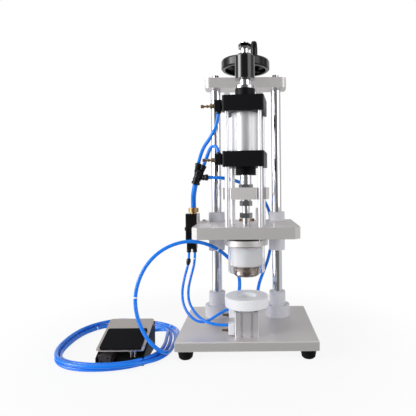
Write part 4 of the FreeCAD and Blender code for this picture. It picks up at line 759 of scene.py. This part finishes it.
# %% Turn the needles
NEEDLE_OUTLINE = np.array([
    (0.000, 1.40), (0.000, 3.00), (0.015, 3.60), (0.140, 3.60), (0.155, 3.00), (0.160, 2.20), (0.300, 2.20),
    (0.320, 3.40), (0.380, 3.60), (0.400, 3.00), (0.410, 2.40), (0.500, 2.40), (0.522, 2.80), (0.522, 5.40),
    (0.540, 6.10), (0.705, 6.10), (0.728, 5.40), (0.728, 2.95), (1.000, 2.95)])
KNOB_END = 0.15
KNOB_EDGE_RADIUS = 3.3
NUT_EDGE_RADIUS = 5.0
KNURL_DEPTH = 0.22
KNURL_TEETH = 18


def turned_needle(name, node):
    """Rings round the node's axis, at the (share of the length, radius in mm) of the outline. On the knob,
    radius = outline + depth * cos(teeth * t). On the lock nut, radius = outline * cos(30 deg) / cos(t - the
    nearest flat's angle), which is a hexagon."""
    points = np.array([v.co for v in nodes[node].data.vertices])
    middle = points.mean(0)
    axis = np.linalg.svd(points - middle, full_matrices=False)[2][0]
    axis = axis * np.sign(axis[0])
    places = (points - middle) @ axis
    share = NEEDLE_OUTLINE[:, :1]
    radius = NEEDLE_OUTLINE[:, 1:]
    line = middle + axis * places.min() + share * axis * (places.max() - places.min())
    side = np.cross(axis, [0.0, 0.0, 1.0])
    side = side / np.linalg.norm(side)
    t = np.linspace(0, 2 * np.pi, KNURL_TEETH * 4, endpoint=False)
    ring = np.cos(t)[:, None] * side + np.sin(t)[:, None] * np.cross(axis, side)
    on_knob = (radius > KNOB_EDGE_RADIUS) & (share < KNOB_END)
    hexagon = np.cos(np.pi / 6) / np.cos(t % (np.pi / 3) - np.pi / 6)
    cut = np.where(radius > NUT_EDGE_RADIUS, hexagon, 1.0)
    radii = (radius + np.where(on_knob, KNURL_DEPTH * np.cos(KNURL_TEETH * t), 0)) * cut / 1000
    piece = mesh_from_grid(name, line[:, None] + radii[..., None] * ring, smooth=False)
    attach(piece, node)
    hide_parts(node)
    return piece


needles = [turned_needle(side + "_needle_knob", side + "_needle") for side in ("upper", "lower")]
print("turned:", [needle.name for needle in needles])

# %% [markdown]
# ## Finish: metals
#
# Base, carriage, top plate and crosshead are aluminium with a satin anodised skin: a fine even grain, soft
# broad reflections and faint cloudiness. A metal with a middling roughness that changes a little from place
# to place, and a very fine relief, gives this. The same recipe with less roughness and a shallower relief is
# hard chrome, and with other tones it is steel or brass.

# %% Make the metal finishes


def cloudy_metal(name, dark, light, rough_low, rough_high, grain=900.0, stretch=(1, 1, 1), metal=1.0,
                 depth=0.00003):
    """A metal between two screen colours and two roughnesses. The tone drifts slowly. A grain of so many
    blobs to the metre, drawn out by stretch, changes the roughness and raises the skin by depth in metres."""
    finish = Finish(name, Metallic=metal)
    drift = finish.noise(scale=7.0, detail=4.0)
    fine = finish.noise(grain, detail=2.0, stretch=stretch)
    finish.feed("Base Color", finish.blend(drift * 0.7 + fine * 0.3, shade(*dark), shade(*light)))
    finish.feed("Roughness", fine * (rough_high - rough_low) + rough_low)
    finish.relief(fine, depth, strength=0.6)
    return finish


finishes = {
    "anodised_plate": cloudy_metal("satin_anodised", (202, 198, 198), (219, 215, 215), 0.40, 0.52,
                                   stretch=(1.0, 0.12, 1.0), metal=0.62),
    "chrome_rod": cloudy_metal("hard_chrome", (222, 222, 226), (232, 232, 236), 0.05, 0.10,
                               grain=700.0, stretch=(1, 1, 0.1), depth=0.000001),
    "plain_steel": cloudy_metal("bright_steel", (168, 168, 170), (196, 196, 198), 0.14, 0.26,
                                grain=1500.0, depth=0.00001),
    "satin_barrel": cloudy_metal("satin_barrel", (214, 214, 216), (228, 228, 230), 0.36, 0.46,
                                 grain=1200.0, stretch=(1, 1, 0.08), metal=0.75),
    "brass": cloudy_metal("brass", (122, 98, 76), (160, 134, 104), 0.22, 0.36,
                          grain=1800.0, depth=0.00001),
    "dark_steel": cloudy_metal("dark_steel", (136, 124, 118), (188, 176, 168), 0.07, 0.14,
                               grain=1600.0, stretch=(1, 1, 0.15), depth=0.000003),
    "treadle_steel": cloudy_metal("champagne_steel", (182, 175, 172), (202, 196, 193), 0.26, 0.40,
                                  grain=1300.0, stretch=(0.1, 1, 1)),
}

# %% [markdown]
# ## Finish: plastics, paint and rubber
#
# The caps are black anodised with a dry, slightly cloudy sheen, and the wheel, fittings and valve are glossy
# black moulding. The seats and bushings are light grey engineering plastic. Head and nest are turned from
# white nylon, in which light goes a little way under the skin. All have a very fine surface relief. The guard
# is a clear tube: it lets light through with hardly a bend, so that the collet inside it stays in view.

# %% Make the other finishes


def moulded(name, dark, light, rough_low, rough_high, grain=700.0, depth=0.00004, **plain):
    """A plastic, paint or rubber between two screen colours and two roughnesses, with a fine relief of so
    many grains to the metre. Any other value goes straight to the shader."""
    finish = Finish(name, **plain)
    drift = finish.noise(scale=12.0, detail=4.0)
    fine = finish.noise(grain, detail=3.0)
    finish.feed("Base Color", finish.blend(drift, shade(*dark), shade(*light)))
    finish.feed("Roughness", fine * (rough_high - rough_low) + rough_low)
    finish.relief(fine, depth, strength=0.6)
    return finish


finishes.update({
    "seat_grey": moulded("grey_plastic", (206, 206, 212), (217, 217, 223), 0.42, 0.55, grain=900.0,
                         Subsurface_Weight=0.1, Subsurface_Scale=0.004),
    "black_enamel": moulded("black_enamel", (10, 10, 12), (17, 17, 20), 0.38, 0.50, grain=1100.0,
                            Specular_IOR_Level=0.12),
    "black_gloss": moulded("black_gloss", (12, 12, 14), (20, 20, 23), 0.14, 0.24, grain=800.0,
                           Specular_IOR_Level=0.3),
    "white_nylon": moulded("white_nylon", (228, 229, 233), (236, 237, 240), 0.38, 0.50, grain=900.0,
                           Subsurface_Weight=0.15, Subsurface_Scale=0.005),
    "white_fitting": moulded("white_fitting", (222, 224, 228), (234, 235, 238), 0.30, 0.42, grain=1000.0),
    "black_rubber": moulded("black_rubber", (10, 10, 12), (19, 19, 22), 0.55, 0.75, grain=1500.0,
                            depth=0.00012, Specular_IOR_Level=0.08),
    "valve_grey": moulded("valve_grey", (52, 48, 50), (66, 61, 62), 0.40, 0.55, grain=900.0),
    "blue_hose": hose_blue,
})
clear_guard = Finish("clear_guard", Base_Color=WHITE, Roughness=0.04, IOR=1.2, Transmission_Weight=1.0)
clear_guard.relief(clear_guard.noise(scale=40.0, detail=2.0), depth=0.0002, strength=0.15)
finishes["clear_acrylic"] = clear_guard

# %% [markdown]
# ## Finish: pieces that differ from their slot
#
# Some pieces share a material slot with others but look different in the photograph. The posts and the lift
# cylinder are brighter than the plates, and the stroke adjuster is polished. Two nodes hold pieces that a
# mask on the height tells apart. Among the black fittings the valve's inlet fitting is brass. On the rod's
# chrome nuts a dark reflection is painted in black on the top stem's nut, above its lower edge.

# %% Make the finishes of single pieces
INLET_FITTING = (0.296, 0.318)  # heights between which the valve's inlet fitting stands
# On the chrome nut of the top stem, a dark reflection is painted in black above this edge.
TOP_NUT_EDGE = 0.6662  # height of the bright lower edge of the nut on the top stem


def black_and_brass():
    """The black air fittings, of which the valve's inlet fitting is brass between its two heights."""
    finish = cloudy_metal("fitting_black_and_brass", (12, 12, 14), (20, 20, 23), 0.24, 0.36,
                          metal=0.0, depth=0.00001)
    height = finish.height()
    inlet = (height > INLET_FITTING[0]) * (1 - (height > INLET_FITTING[1]))
    finish.feed("Base Color", finish.blend(inlet, shade(16, 16, 18), shade(186, 150, 100)))
    finish.feed("Metallic", inlet)
    return finish


def bright_nuts_with_painted_reflection():
    """The rod's bright nuts. On the chrome nut of the top stem, a dark reflection is painted in black above
    its lower edge.
    """
    finish = cloudy_metal("bright_nuts_painted_dark_reflection", (168, 168, 170), (196, 196, 198), 0.14, 0.26,
                          grain=1500.0, depth=0.000004)
    # Painted dark reflection: above the top nut's lower edge its colour is set near black.
    dark_reflection_mask = finish.height() > TOP_NUT_EDGE
    finish.feed("Base Color", finish.blend(dark_reflection_mask, shade(176, 176, 178), shade(30, 30, 32)))
    return finish


post_satin = cloudy_metal("post_satin", (222, 222, 226), (236, 236, 240), 0.24, 0.34,
                          stretch=(1, 1, 0.08), metal=0.55, depth=0.000002)
single_finishes = {
    "lift_cylinder": cloudy_metal("machined_aluminium", (224, 222, 225), (238, 236, 239), 0.28, 0.38,
                                  grain=1400.0, stretch=(1, 1, 0.06), metal=0.7, depth=0.000003),
    "posts": post_satin,
    "tie_rods": post_satin,
    "stroke_adjuster": moulded("polished_black", (8, 8, 10), (14, 14, 17), 0.06, 0.10, grain=900.0,
                               depth=0.000002, Specular_IOR_Level=0.6),
    "rod_nuts": bright_nuts_with_painted_reflection(),
    "brass_fittings": black_and_brass(),
}

# %% Give every piece its finish
slot_of = {part["node"]: part["material_slot"] for part in frame["record"]["subparts"]}
for name, piece in nodes.items():
    finish = single_finishes.get(name, finishes[slot_of[name]])
    piece.data.materials.clear()
    piece.data.materials.append(finish.material)
for slot, pieces in (("plain_steel", (thread, shank)), ("black_gloss", union_pieces), ("brass", needles)):
    for piece in pieces:
        piece.data.materials.append(finishes[slot].material)
print("nodes with a finish:", len(slot_of), "of", len(nodes))
